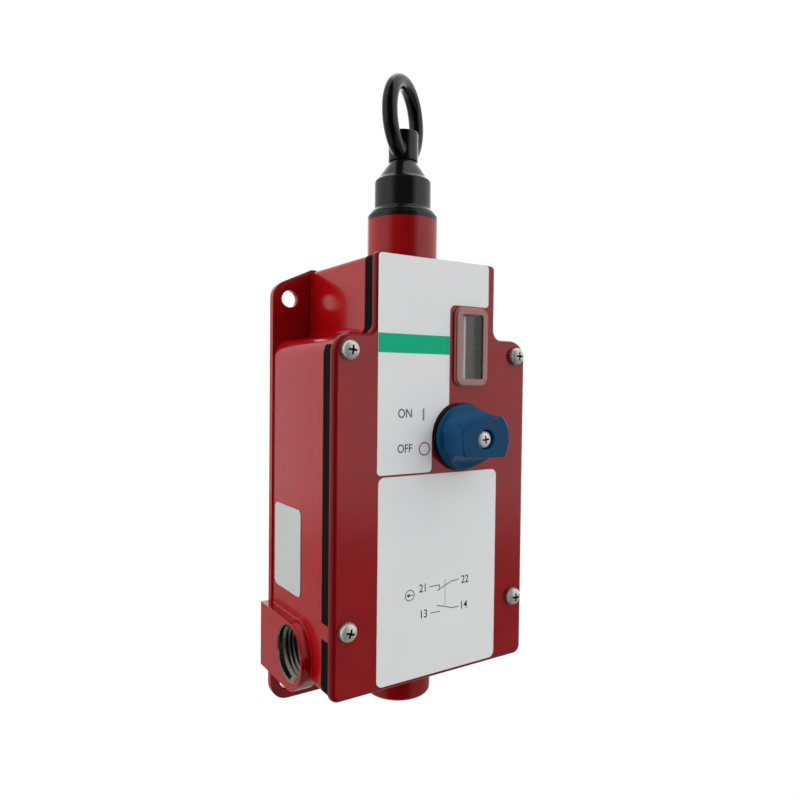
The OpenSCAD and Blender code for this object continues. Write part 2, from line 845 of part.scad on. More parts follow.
module lower_label() {
  color(white)
    plate_y(front_y - label_t, front_y)
      translate([lower_label_x, lower_label_z])
        rounded_rect(lower_label_w, lower_label_h, label_r);
}

module side_label() {
  color(white)
    translate([-wall_x - label_t, -side_label_y, side_label_z])
      rotate([90, 0, 90])
        linear_extrude(label_t)
          rounded_rect(side_label_w, side_label_h, label_r);
}

module upper_bush() {
  color(brass)
    tube_z(upper_bush_r, shaft_r + run_clear, upper_bush_z, upper_bush_top_z);
}

module lower_bush() {
  color(brass)
    tube_z(lower_bush_r, shaft_r + run_clear, lower_bush_z, lower_bush_top_z);
}

module shaft_seal() {
  color(black)
    tube_z(seal_r - 0.02, shaft_r + run_clear, seal_seat_z, neck_top_z - 0.2);
}

// Rubber boot: a flared foot on the neck, a straight barrel and a cone up to the eye's hub.
module boot() {
  top = boot_h;
  cone = top - boot_cone_h;
  color(black)
    translate([0, -axis_y, neck_top_z])
      rotate_extrude()
        difference() {
          union() {
            square([boot_foot_r, 1.2]);
            difference() {
              translate([0, 1])
                square([boot_foot_r - 0.6, boot_flare_h - 1]);
              translate([boot_foot_r + 1.2, boot_flare_h])
                circle(r = boot_foot_r + 1.2 - boot_r);
              translate([boot_r, boot_flare_h - 0.6])
                square([boot_foot_r, 1]);
            }
            translate([0, 1])
              square([boot_r, cone - 2]);
            square([boot_r - 1, cone]);
            translate([boot_r - 1, cone - 1])
              circle(r = 1);
            polygon([[0, cone - 1], [boot_r - 0.9, cone - 0.4], [boot_top_r, top - 1.6],
              [boot_top_r, top], [0, top]]);
          }
          square([boot_r - boot_wall, cone - 0.8]);
          square([shaft_r + run_clear, top + 1]);
          polygon([[shaft_r, cone - 1], [boot_r - boot_wall, cone - 1], [shaft_r, cone + 2.4]]);
        }
}

// Open coil spring along Z on the pull axis.
module main_spring() {
  sides = 8;
  steps = 20 * spring_turns;
  rise = spring_len - 2 * spring_wire_r - 0.1;
  points = [for (i = [0:steps]) for (k = [0:sides - 1])
    let (turn = 360 * spring_turns * i / steps, side = 360 * k / sides,
      reach = spring_r + spring_wire_r * cos(side))
    [reach * cos(turn), reach * sin(turn),
      spring_wire_r + 0.05 + rise * i / steps + spring_wire_r * sin(side)]];
  walls = [for (i = [0:steps - 1]) for (k = [0:sides - 1])
    [i * sides + k, i * sides + (k + 1) % sides, (i + 1) * sides + (k + 1) % sides,
      (i + 1) * sides + k]];
  start = [[for (k = [sides - 1:-1:0]) k]];
  end = [[for (k = [0:sides - 1]) steps * sides + k]];
  color(steel)
    translate([0, -axis_y, spring_seat_z])
      polyhedron(points = points, faces = concat(walls, start, end), convexity = 12);
}

module top_spring_washer() {
  color(steel)
    tube_z(spring_r + 2, neck_seat_r, spring_top_z, cavity_top_z);
}

// Pull shaft with a turned groove for the clip, a cross hole for the cam pin and a
// threaded end for the eye.
module pull_shaft() {
  color(steel)
    difference() {
      union() {
        rod_z(shaft_r, shaft_bottom_z, hub_bottom_z);
        rod_z(stud_r, hub_bottom_z - 1, stud_top_z);
      }
      difference() {
        rod_z(shaft_r + 1, seat_bottom_z - clip_t - 0.1, seat_bottom_z);
        rod_z(shaft_r - clip_depth, seat_bottom_z - clip_t - 1, seat_bottom_z + 1);
      }
      translate([-shaft_r - 1, -axis_y, cam_bottom_z + 4])
        rotate([0, 90, 0])
          cylinder(r = 1.55, h = 2 * shaft_r + 2);
    }
}

// Eye: a closed ring on a hub that screws on to the shaft.
module eye_nut() {
  color(black)
    difference() {
      union() {
        intersection() {
          translate([0, -axis_y, eye_z])
            rotate([0, 0, eye_turn])
              rotate([90, 0, 0])
                rotate_extrude()
                  translate([eye_r, 0])
                    circle(r = eye_rod_r);
          translate([-eye_reach, -axis_y - eye_reach, hub_bottom_z])
            cube([2 * eye_reach, 2 * eye_reach, eye_rise + eye_reach]);
        }
        rod_z(eye_hub_r, hub_bottom_z, hub_bottom_z + eye_hub_h);
      }
      rod_z(stud_r + 0.02, hub_bottom_z - 1, stud_top_z + 0.3);
    }
}

// Moving spring seat: a flanged collar with an arm that carries the indicator.
module spring_seat() {
  color(steel)
    difference() {
      union() {
        rod_z(spring_r + 2, seat_bottom_z, spring_seat_z);
        translate([0, -indicator_y, seat_bottom_z])
          cube([window_x + indicator_r + 1, indicator_y - axis_y, spring_seat_t]);
        translate([window_x, -indicator_y, seat_bottom_z])
          cylinder(r = indicator_r + 1, h = spring_seat_t);
      }
      rod_z(shaft_r + 0.02, seat_bottom_z - 1, spring_seat_z + 1);
      translate([window_x, -indicator_y, seat_bottom_z - 1])
        cylinder(r = 1.52, h = spring_seat_t + 2);
    }
}

module seat_clip() {
  color(steel)
    difference() {
      tube_z(clip_r, shaft_r - clip_depth + 0.02, seat_bottom_z - clip_t, seat_bottom_z);
      translate([-clip_mouth / 2, -axis_y, seat_bottom_z - clip_t - 1])
        cube([clip_mouth, 2 * clip_r, clip_t + 2]);
    }
}

// Cam sleeve with the ring groove that rocks the trip lever.
module cam_sleeve() {
  color(ivory)
    difference() {
      rod_z(cam_r, cam_bottom_z, cam_top_z);
      rod_z(shaft_r + 0.02, cam_bottom_z - 1, cam_top_z + 1);
      difference() {
        rod_z(cam_r + 1, groove_z - groove_w / 2, groove_z + groove_w / 2);
        rod_z(cam_r - groove_depth, groove_z - groove_w, groove_z + groove_w);
      }
      translate([-cam_r - 1, -axis_y, cam_bottom_z + 4])
        rotate([0, 90, 0])
          cylinder(r = 1.55, h = 2 * cam_r + 2);
    }
}

module cam_pin() {
  color(steel)
    translate([-cam_r + 0.6, -axis_y, cam_bottom_z + 4])
      rotate([0, 90, 0])
        cylinder(r = 1.5, h = 2 * cam_r - 1.2);
}

// Bright indicator rod behind the window, screwed into the seat's arm.
module indicator_rod() {
  color(steel)
    translate([window_x, -indicator_y, 0]) {
      translate([0, 0, spring_seat_z])
        cylinder(r = indicator_r, h = indicator_top_z - spring_seat_z);
      translate([0, 0, seat_bottom_z])
        cylinder(r = 1.5, h = spring_seat_t + 1);
    }
}

// Trip lever: a flat arm from the pivot to the cam sleeve's groove.
module trip_lever() {
  color(steel)
    difference() {
      translate([-lever_x, 0, pivot_z])
        rotate([0, lever_angle, 0]) {
          rod_y(0, 0, lever_hub_r, lever_front_y, lever_back_y + 1.1);
          plate_y(lever_front_y, lever_back_y) {
            translate([0, -lever_w / 2])
              square([norm([lever_x, shaft_travel / 2]), lever_w]);
            translate([norm([lever_x, shaft_travel / 2]), 0])
              circle(r = lever_w / 2);
          }
        }
      rod_y(-lever_x, pivot_z, pivot_r + run_clear, lever_front_y - 1, lever_back_y + 3);
      rod_y(0, groove_z, follower_r * 0.75 + 0.02, lever_front_y - 1, lever_back_y + 1);
    }
}

module follower_pin() {
  color(steel) {
    rod_y(0, groove_z, follower_r * 0.75, lever_front_y, lever_back_y + eps);
    rod_y(0, groove_z, follower_r, lever_back_y, lever_back_y + lever_gap + groove_depth - 0.7);
  }
}

module pivot_screw() {
  color(steel) {
    rod_y(-lever_x, pivot_z, 4.2, lever_front_y - 2.2, lever_front_y - 0.1);
    rod_y(-lever_x, pivot_z, pivot_r, lever_front_y - 0.2, lever_back_y + 1.2);
    rod_y(-lever_x, pivot_z, small_hole_r - run_clear, lever_back_y + 1,
      lever_back_y + pivot_hole_depth - 2);
  }
}

// Reset knob: a round skirt under a wide grip with hollow flanks.
module reset_knob() {
  flank_out = grip_w / 2 + flank_r;
  flank_y = knob_top_y + knob_h * 0.2;
  color(blue)
    difference() {
      translate([knob_x, 0, knob_z])
        rotate([0, -grip_angle, 0])
          difference() {
            union() {
              rod_y(0, 0, knob_r, knob_base_y - knob_skirt_h + knob_bevel, knob_base_y);
              translate([0, knob_base_y - knob_skirt_h + knob_bevel, 0])
                rotate([90, 0, 0])
                  cylinder(r1 = knob_r, r2 = knob_r - knob_bevel, h = knob_bevel);
              rod_y(0, 0, grip_r, knob_top_y + knob_bevel, knob_base_y);
              translate([0, knob_top_y + knob_bevel + eps, 0])
                rotate([90, 0, 0])
                  cylinder(r1 = grip_r, r2 = grip_r - knob_bevel, h = knob_bevel);
            }
            for (s = [-1, 1])
              translate([s > 0 ? grip_len / 2 : -grip_len / 2 - knob_r, knob_top_y - 1, -knob_r])
                cube([knob_r, knob_h + 1 - knob_skirt_h, 2 * knob_r]);
            for (s = [-1, 1])
              rotate([0, -s * grip_taper, 0])
                intersection() {
                  translate([-knob_r - 4, flank_y, s * flank_out])
                    rotate([0, 90, 0])
                      cylinder(r = flank_r, h = 2 * knob_r + 8);
                  translate([-knob_r - 4, knob_top_y - 1, -2 * knob_r])
                    cube([2 * knob_r + 8, knob_h + 1 - knob_skirt_h, 4 * knob_r]);
                }
            for (s = [-1, 1])
              rotate([0, -s * grip_taper, 0])
                translate([-knob_r - 4, knob_top_y - 1,
                  s > 0 ? grip_w / 2 + grip_edge : -grip_w / 2 - grip_edge - knob_r])
                  cube([2 * knob_r + 8, flank_y - knob_top_y + 1, knob_r]);
          }
      rod_y(knob_x, knob_z, knob_screw_r + 0.6, knob_top_y - 1, knob_top_y + knob_sink);
      rod_y(knob_x, knob_z, 1.6, knob_top_y - 1, knob_base_y + 1);
      rod_y(knob_x, knob_z, spindle_r + 0.02, spindle_top_y, knob_base_y + 1);
    }
}

module knob_screw() {
  color(steel)
    translate([knob_x, knob_top_y + knob_sink, knob_z])
      pan_screw(knob_screw_r, 2, small_hole_r - run_clear, knob_screw_len);
}

module knob_ring() {
  color(black)
    difference() {
      rod_y(knob_x, knob_z, knob_ring_r, front_y - knob_ring_t, front_y);
      rod_y(knob_x, knob_z, spindle_bush_r + 0.6, front_y - knob_ring_t - 1, front_y + 1);
    }
}

module spindle_bush() {
  color(brass)
    difference() {
      union() {
        rod_y(knob_x, knob_z, spindle_bush_r, front_y - knob_ring_t + 0.1, cover_back_y);
        rod_y(knob_x, knob_z, spindle_bush_r + 1.6, cover_back_y, cover_back_y + 1.2);
      }
      rod_y(knob_x, knob_z, spindle_r + run_clear, front_y - 5, cover_back_y + 3);
    }
}

module knob_spindle() {
  color(steel)
    difference() {
      rod_y(knob_x, knob_z, spindle_r, spindle_top_y + run_clear, crank_back_y);
      rod_y(knob_x, knob_z, small_hole_r, spindle_top_y - 1, spindle_top_y + spindle_hole_len);
    }
}

// Crank disc on the spindle, with the pin that lifts the reset slide.
module reset_crank() {
  color(steel)
    difference() {
      union() {
        rod_y(knob_x, knob_z, crank_r, crank_front_y, crank_back_y);
        rod_y(crank_pin_x, crank_pin_z, crank_pin_r, crank_back_y - eps, slide_back_y + 0.4);
      }
      rod_y(knob_x, knob_z, spindle_r + 0.02, crank_front_y - 1, crank_back_y + 1);
    }
}

// Reset slide: a bent plate with a level slot for the crank pin, two upright slots for the
// guide posts and a shelf over the plungers.
module reset_slide() {
  slot_w = 2 * crank_pin_r + 0.2;
  arm_left = crank_pin_x - slot_half - slide_edge / 2;
  arm_right = guide_x + slide_edge;
  arm_low = guide_high_z - slide_edge + 1;
  arm_high = crank_pin_z + slide_edge;
  leg_left = guide_x - slide_edge - 1;
  color(steel) {
    plate_y(slide_front_y, slide_back_y)
      difference() {
        union() {
          translate([arm_left, arm_low])
            square([arm_right - arm_left, arm_high - arm_low]);
          translate([leg_left, shelf_z])
            square([arm_right - leg_left, arm_low - shelf_z + 1]);
        }
        translate([crank_pin_x - slot_half, crank_pin_z - slot_w / 2])
          square([2 * slot_half, slot_w]);
        for (z = [guide_low_z, guide_high_z]) {
          translate([guide_x - guide_r - run_clear, z - slide_travel - 0.1])
            square([2 * (guide_r + run_clear), slide_travel + 0.2]);
          for (end = [z - slide_travel - 0.1, z + 0.1])
            translate([guide_x, end])
              circle(r = guide_r + run_clear);
        }
      }
    translate([block_x - slide_edge, slide_back_y - eps, shelf_z])
      cube([arm_right - block_x + slide_edge, plunger_places[0] - slide_back_y + slide_edge - 1,
        shelf_t]);
  }
}

// Shouldered posts that guide the reset slide.
module guide_posts() {
  color(steel)
    for (z = [guide_low_z, guide_high_z]) {
      rod_y(guide_x, z, guide_r, slide_front_y - 0.2, bracket_y - bracket_t);
      rod_y(guide_x, z, guide_r + 1.4, slide_front_y - 1.4, slide_front_y - 0.1);
      rod_y(guide_x, z, 1.5, bracket_y - bracket_t - eps, bracket_y);
    }
}

module switch_bracket() {
  low = block_top_z - block_h - 2;
  high = guide_high_z + 5;
  color(steel)
    plate_y(bracket_y - bracket_t, bracket_y)
      difference() {
        translate([block_x - block_w / 2 - 1.5, low])
          square([guide_x + 5 - block_x + block_w / 2 + 1.5, high - low]);
        for (z = [guide_low_z, guide_high_z])
          translate([guide_x, z])
            circle(r = 1.55);
        translate([standoff_x, standoff_high_z])
          circle(r = small_hole_r + 0.2);
        for (s = block_screw_places)
          translate([block_x + s, block_screw_z])
            circle(r = block_screw_hole_r);
        translate([screw_x, screw_bottom_z])
          circle(r = post_r + 0.4);
      }
}

module bracket_screw() {
  color(steel)
    translate([standoff_x, bracket_y - bracket_t, standoff_high_z])
      pan_screw(2.8, 1.8, small_hole_r - run_clear, bracket_t + 5);
}

// Two moulded switch blocks, one before the other, with terminal pockets and plunger bores.
module switch_blocks() {
  color(ivory)
    for (i = [0, 1])
      difference() {
        translate([block_x - block_w / 2, block_back_y - (i + 1) * block_t + (i > 0 ? 0 : 0.1),
          block_top_z - block_h])
          cube([block_w, block_t - 0.1, block_h]);
        translate([block_x, plunger_places[i], block_top_z - plunger_len + 0.6])
          cylinder(r = plunger_r + run_clear, h = plunger_len);
        for (s = terminal_places)
          translate([block_x + s - terminal_pocket_w / 2, block_back_y - (i + 1) * block_t - 1,
            block_top_z - block_h - 1])
            cube([terminal_pocket_w, block_t - terminal_wall + 1, terminal_pocket_h + 1]);
        for (s = block_screw_places)
          rod_y(block_x + s, block_screw_z, block_screw_hole_r, block_front_y - 1,
            block_back_y + 1);
      }
}

module block_screws() {
  color(steel)
    for (s = block_screw_places)
      translate([block_x + s, block_front_y, block_screw_z])
        pan_screw(2.4, 1.6, block_screw_hole_r - 0.1, 2 * block_t + bracket_t);
}

module switch_plungers() {
  color(red)
    for (y = plunger_places)
      translate([block_x, y, shelf_z - plunger_len])
        cylinder(r = plunger_r, h = plunger_len - 0.02);
}

module terminal_screws() {
  color(brass)
    for (i = [0, 1])
      for (s = terminal_places)
        translate([block_x + s, block_back_y - i * block_t - terminal_wall, terminal_z])
          pan_screw(terminal_head_r, 1.5, terminal_head_r / 2, 0);
}

module ground_screw() {
  color(green)
    translate([ground_x, ground_y, ground_z])
      pan_screw(screw_head_r, screw_head_h, screw_shank_r, ground_boss_h + 1.5);
}

housing();
cover_gasket();
cover();
cover_screws();
lock_washers();
window_lens();
window_seal();
upper_label();
lower_label();
side_label();
upper_bush();
lower_bush();
shaft_seal();
boot();
main_spring();
top_spring_washer();
pull_shaft();
eye_nut();
spring_seat();
seat_clip();
cam_sleeve();
cam_pin();
indicator_rod();
trip_lever();
follower_pin();
pivot_screw();
reset_knob();
knob_screw();
knob_ring();
spindle_bush();
knob_spindle();
reset_crank();
reset_slide();
guide_posts();
switch_bracket();
bracket_screw();
switch_blocks();
block_screws();
switch_plungers();
terminal_screws();
ground_screw();
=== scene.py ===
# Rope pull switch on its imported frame. Sizes in the dictionaries are in millimetres, angles in degrees.
import math

import bmesh
import bpy
from mathutils import Matrix, Vector


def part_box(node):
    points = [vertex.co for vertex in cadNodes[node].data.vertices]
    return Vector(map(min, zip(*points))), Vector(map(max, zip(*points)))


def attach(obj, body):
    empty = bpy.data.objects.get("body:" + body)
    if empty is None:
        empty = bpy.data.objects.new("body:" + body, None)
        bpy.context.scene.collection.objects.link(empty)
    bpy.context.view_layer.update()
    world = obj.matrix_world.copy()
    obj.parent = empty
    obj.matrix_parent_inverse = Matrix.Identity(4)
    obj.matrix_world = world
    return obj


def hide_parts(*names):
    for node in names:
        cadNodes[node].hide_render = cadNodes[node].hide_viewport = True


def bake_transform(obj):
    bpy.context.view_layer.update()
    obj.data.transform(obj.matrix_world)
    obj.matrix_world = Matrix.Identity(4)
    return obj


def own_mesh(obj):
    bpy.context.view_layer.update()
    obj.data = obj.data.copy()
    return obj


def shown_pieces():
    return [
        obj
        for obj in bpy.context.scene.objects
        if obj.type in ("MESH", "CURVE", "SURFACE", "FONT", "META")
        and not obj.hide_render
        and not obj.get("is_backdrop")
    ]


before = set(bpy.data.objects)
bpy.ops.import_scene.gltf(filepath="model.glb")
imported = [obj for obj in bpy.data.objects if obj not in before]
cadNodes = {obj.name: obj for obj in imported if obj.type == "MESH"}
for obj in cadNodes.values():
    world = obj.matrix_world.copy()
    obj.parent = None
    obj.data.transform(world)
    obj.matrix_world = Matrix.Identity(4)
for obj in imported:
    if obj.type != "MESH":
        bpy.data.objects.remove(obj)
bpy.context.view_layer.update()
mm = 0.001
scene = bpy.context.scene
materials = {}
print("frame loaded:", len(cadNodes), "nodes")


def hexColour(text):  # sRGB hex to linear
    parts = [int(text[i:i + 2], 16) / 255 for i in (1, 3, 5)]
    return [p / 12.92 if p <= 0.04045 else ((p + 0.055) / 1.055) ** 2.4 for p in parts] + [1.0]


def addNode(tree, kind, links=None, values=None, **settings):
    node = tree.nodes.new(kind)
    for name, value in settings.items():
        setattr(node, name, value)
    for socket, value in (values or {}).items():
        node.inputs[socket].default_value = value
    for socket, source in (links or {}).items():
        tree.links.new(source, node.inputs[socket])
    return node


def objectFrom(shape, name, surfaces):
    mesh = bpy.data.meshes.new(name)
    shape.to_mesh(mesh)
    shape.free()
    piece = bpy.data.objects.new(name, mesh)
    scene.collection.objects.link(piece)
    for surface in surfaces:
        mesh.materials.append(materials[surface])
    return piece


def smoothShade(piece, angle=35):
    piece.data.shade_smooth()
    piece.data.set_sharp_from_angle(angle=math.radians(angle))


def applyModifiers(piece):  # the evaluated result becomes the plain mesh
    bpy.context.view_layer.update()
    done = piece.evaluated_get(bpy.context.evaluated_depsgraph_get())
    mesh = bpy.data.meshes.new_from_object(done)
    piece.modifiers.clear()
    piece.data = mesh


def near(value, target):  # the same place, give or take a rounding error in the frame's numbers
    return abs(value - target) < 0.05


def isSharp(edge):  # an edge to round, not one facet of a curve
    return edge.is_manifold and edge.calc_face_angle() > math.radians(35)


def roundEdges(shape, edges, width, segments, slide=False):
    bmesh.ops.bevel(shape, geom=edges, offset=width * mm, offset_type="OFFSET", segments=segments,
                    profile=0.5, affect="EDGES", clamp_overlap=True, loop_slide=slide)


def finishCasting(piece, angle):  # true flats shade flat beside the rounds
    smoothShade(piece, angle)
    weighted = piece.modifiers.new("flats", "WEIGHTED_NORMAL")
    weighted.keep_sharp = True
    applyModifiers(piece)


def cadShape(node, joined=True):  # a merged copy of a CAD node's mesh, with its flat faces joined up
    shape = bmesh.new()
    shape.from_mesh(cadNodes[node].data)
    bmesh.ops.remove_doubles(shape, verts=shape.verts, dist=1e-6)
    if joined:
        bmesh.ops.dissolve_limit(shape, angle_limit=math.radians(0.6), verts=shape.verts, edges=shape.edges)
    return shape


def place(piece, body, slot, *replaced):
    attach(piece, body)
    if replaced:
        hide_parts(*replaced)


# Materials. Under each name stand the slots it fills and its surface values. Then come the
# patterns, each with the size of its grain in mm and its detail:
#   mottle: the base colour wanders between the two colours
#   uneven: the roughness wanders by this much either way
#   relief: bumps of this height in mm, at this strength
# Plating, ink and moulded skins have a finer grain than this. It would not show, so it is drawn coarser.
materialValues = {
    # Stoved enamel on a die casting: deep red and glossy, with a faint flow in the film
    "stovedRedEnamel": {
        "slots": ["red_enamel"], "colours": ["#94030A", "#9C050B"],
        "surface": {"Roughness": 0.15, "IOR": 1.5}, "mottle": (5.0, 1.0), "uneven": (14.0, 2.0, 0.03),
        "relief": (5.0, 1.0, 0.025, 0.35)},

    # Painted shade: the same enamel drawn darker and duller on the cover's rounded rim, where shade falls
    "rimShadeEnamel": {
        "slots": ["rimPaintedShade"], "colours": ["#74060F"],
        "surface": {"Roughness": 0.23, "Specular IOR Level": 0.28}, "uneven": (10.0, 2.0, 0.05)},

    # Turned and tapped aluminium alloy: bare, bright, with fine tool rings
    "tappedAluminium": {
        "slots": ["bareThread"], "colours": ["#8F8B83"], "surface": {"Roughness": 0.32, "Metallic": 1.0},
        "uneven": (0.5, 2.0, 0.1)},

    # Die-cut neoprene: dull and near black, with a warm cast that is a painted reflection of the red casting
    # beside it
    "neoprene": {
        "slots": ["gasket_rubber"], "colours": ["#0A0504"],
        "surface": {"Roughness": 0.8, "Specular IOR Level": 0.15}, "relief": (0.4, 2.0, 0.03, 0.5)},

    # Moulded polycarbonate: clear over the slot, its faint pink a painted tint of the red behind, and
    # milkLens adds the rim
    "clearPolycarbonate": {
        "slots": ["clear_lens"], "colours": ["#FFF6F5"], "surface": {"Roughness": 0.05, "IOR": 1.58}},

    # The window's side walls: painted reflection and shade, the clear plastic drawn opaque deep red for the
    # red casting seen through it
    "lensWallPaintedRed": {
        "slots": ["lensWall"], "colours": ["#6E2228"], "surface": {"Roughness": 0.16, "IOR": 1.58},
        "uneven": (3.0, 1.0, 0.04)},

    # Laminated polyester film: pale grey-white with a soft sheen
    "polyesterFilm": {
        "slots": ["label_white"], "colours": ["#F4F8F7", "#F9FBFA"],
        "surface": {"Roughness": 0.42, "IOR": 1.5}, "mottle": (30.0, 1.0), "relief": (1.2, 2.0, 0.006, 0.3)},

    # The side label's film: the same, greyer
    "greyFilm": {
        "slots": ["sideFilm"], "colours": ["#AEB4B1", "#B3B8B5"],
        "surface": {"Roughness": 0.42, "IOR": 1.5}, "mottle": (30.0, 1.0), "relief": (1.2, 2.0, 0.006, 0.3)},

    # Zinc-plated steel: pale, with a soft shine
    "zincPlate": {
        "slots": ["screw_steel", "plated_steel"], "colours": ["#D2D1CA", "#DAD9D2"],
        "surface": {"Roughness": 0.29, "Metallic": 0.5},
        "mottle": (2.5, 1.0), "uneven": (0.8, 3.0, 0.07), "relief": (0.8, 3.0, 0.006, 0.4)},

    # The knob's screw: nickel plated, almost white
    "nickelPlate": {
        "slots": ["knobScrew"], "colours": ["#F2F1EC"], "surface": {"Roughness": 0.34, "Metallic": 0.25},
        "uneven": (0.6, 2.0, 0.06)},

    # Painted shade in a driver recess: the same plate drawn dark and dull
    "recessPaintedShade": {
        "slots": ["screwRecessShade"], "colours": ["#3A3B36"], "surface": {"Roughness": 0.465, "Metallic": 1.0},
        "uneven": (0.4, 2.0, 0.085)},

    # Lock washers: the same plate gone grey
    "greyZinc": {
        "slots": ["washerSteel"], "colours": ["#8F8F89"], "surface": {"Roughness": 0.42, "Metallic": 0.8},
        "uneven": (0.6, 3.0, 0.08)},

    # Green passivated zinc on the earth screw
    "greenZinc": {
        "slots": ["green_zinc"], "colours": ["#3E8A55"], "surface": {"Roughness": 0.31, "Metallic": 0.9},
        "uneven": (0.8, 2.0, 0.07)},

    # Oil-hardened spring wire: dark grey drawn steel
    "springWire": {
        "slots": ["spring_steel"], "colours": ["#6E6F72"], "surface": {"Roughness": 0.37, "Metallic": 1.0},
        "uneven": (0.6, 3.0, 0.09)},

    # Centreless-ground steel: rings of fine scratches round the shaft
    "groundSteel": {
        "slots": ["ground_steel"], "colours": ["#B4B6B9"], "surface": {"Roughness": 0.24, "Metallic": 1.0},
        "stretch": (1, 1, 18), "uneven": (3.0, 3.0, 0.08), "relief": (3.0, 3.0, 0.004, 0.4)},

    # Sintered bronze: brown-gold and slightly porous
    "sinteredBronze": {
        "slots": ["bronze"], "colours": ["#8A6333", "#B58A4C"],
        "surface": {"Roughness": 0.42, "Metallic": 1.0},
        "mottle": (0.35, 4.0), "relief": (0.35, 4.0, 0.03, 0.5)},

    # Machined brass terminals: yellow and bright
    "machinedBrass": {
        "slots": ["terminal_brass"], "colours": ["#D0A85C"], "surface": {"Roughness": 0.29, "Metallic": 1.0},
        "uneven": (0.5, 2.0, 0.07)},

    # Drawn steel indicator: bright grey with a satin shine
    "drawnIndicator": {
        "slots": ["indicator_grey"], "colours": ["#B9BFBF"], "surface": {"Roughness": 0.2, "Metallic": 0.8},
        "uneven": (6.0, 1.0, 0.02)},

    # Moulded nitrile rubber: black with a soft gloss
    "nitrileRubber": {
        "slots": ["boot_rubber"], "colours": ["#161617"], "surface": {"Roughness": 0.16, "IOR": 1.5},
        "uneven": (6.0, 2.0, 0.04), "relief": (6.0, 2.0, 0.03, 0.25)},

    # Black enamel on a forged eye: glossy over a slightly uneven forging
    "blackEnamel": {
        "slots": ["black_enamel"], "colours": ["#0B0B0C"], "surface": {"Roughness": 0.17, "IOR": 1.5},
        "uneven": (4.0, 2.0, 0.05), "relief": (4.0, 2.0, 0.05, 0.3)},

    # Thermoset moulding: warm ivory with a fine mottle
    "ivoryThermoset": {
        "slots": ["ivory_plastic"], "colours": ["#CFC7AE", "#DBD5C0"],
        "surface": {"Roughness": 0.4, "IOR": 1.5}, "mottle": (1.0, 3.0), "relief": (1.0, 3.0, 0.01, 0.4)},

    # Moulded glass-filled nylon, blue: a fine spark-eroded skin
    "blueNylon": {
        "slots": ["blue_plastic"], "colours": ["#00466E"],
        "surface": {"Roughness": 0.31, "Specular IOR Level": 0.14},
        "uneven": (4.0, 2.0, 0.05), "relief": (0.5, 2.0, 0.012, 0.5)},

    # Moulded black nylon: the same skin
    "blackNylon": {
        "slots": ["black_plastic"], "colours": ["#0E0E10"], "surface": {"Roughness": 0.4, "IOR": 1.5},
        "relief": (0.5, 2.0, 0.012, 0.5)},

    # Moulded acetal, red: smooth and a little waxy
    "redAcetal": {
        "slots": ["plunger_red"], "colours": ["#B3261C"], "surface": {"Roughness": 0.34, "IOR": 1.48},
        "relief": (0.6, 2.0, 0.008, 0.4)},
}
# Screen-printing inks: flat colour, a touch glossier than the film
for ink, colour in (("greenInk", "#00BE8B"), ("maroonInk", "#A04860"), ("greyInk", "#4C5250"),
                    ("blackInk", "#22262A")):
    materialValues[ink] = {
        "slots": [ink], "colours": [colour], "surface": {"Roughness": 0.5, "Specular IOR Level": 0.12},
        "uneven": (0.6, 2.0, 0.06)}


def makeMaterial(name, values):
    material = bpy.data.materials.new(name)
    material.use_nodes = True
    tree = material.node_tree
    tree.nodes.clear()
    colours = [hexColour(text) for text in values["colours"]]
    surface = addNode(tree, "ShaderNodeBsdfPrincipled",
                      values={"Base Color": colours[0], **values["surface"]})
    addNode(tree, "ShaderNodeOutputMaterial", {"Surface": surface.outputs["BSDF"]})
    for pattern in ("mottle", "uneven", "relief"):
        if pattern not in values:
            continue
        size, detail, *amounts = values[pattern]
        where = addNode(tree, "ShaderNodeTexCoord")
        scaled = addNode(tree, "ShaderNodeMapping", {"Vector": where.outputs["Object"]},
                         {"Scale": values.get("stretch", (1, 1, 1))})
        noise = addNode(tree, "ShaderNodeTexNoise", {"Vector": scaled.outputs["Vector"]},
                        {"Scale": 1000 / size, "Detail": detail, "Roughness": 0.5})
        if pattern == "mottle":
            ramp = addNode(tree, "ShaderNodeValToRGB", {"Fac": noise.outputs["Fac"]})
            for stop, position, colour in zip(ramp.color_ramp.elements, (0.35, 0.65), colours):
                stop.position = position
                stop.color = colour
            tree.links.new(ramp.outputs["Color"], surface.inputs["Base Color"])
        elif pattern == "uneven":
            middle, reach = values["surface"]["Roughness"], amounts[0]
            spread = addNode(tree, "ShaderNodeMapRange", {"Value": noise.outputs["Fac"]},
                             {"From Min": 0.3, "From Max": 0.7,
                              "To Min": middle - reach, "To Max": middle + reach})
            tree.links.new(spread.outputs["Result"], surface.inputs["Roughness"])
        else:
            height, strength = amounts
            bump = addNode(tree, "ShaderNodeBump", {"Height": noise.outputs["Fac"]},
                           {"Strength": strength, "Distance": height * mm})
            tree.links.new(bump.outputs["Normal"], surface.inputs["Normal"])
    for slot in values["slots"]:
        materials[slot] = material


# The window's rim is thick: drawn milky, its pink a painted reflection of the red casting seen through it.
# Only the middle is clear.
milkSize = {"middle": {"X": 15.2, "Z": 60.6}, "half": {"X": 5.3, "Z": 12.6}, "fade": (-0.1, 0.3),
            "milkyPaintedRed": "#AF7874", "clear": "#FFF6F5", "leastClear": 0.1}


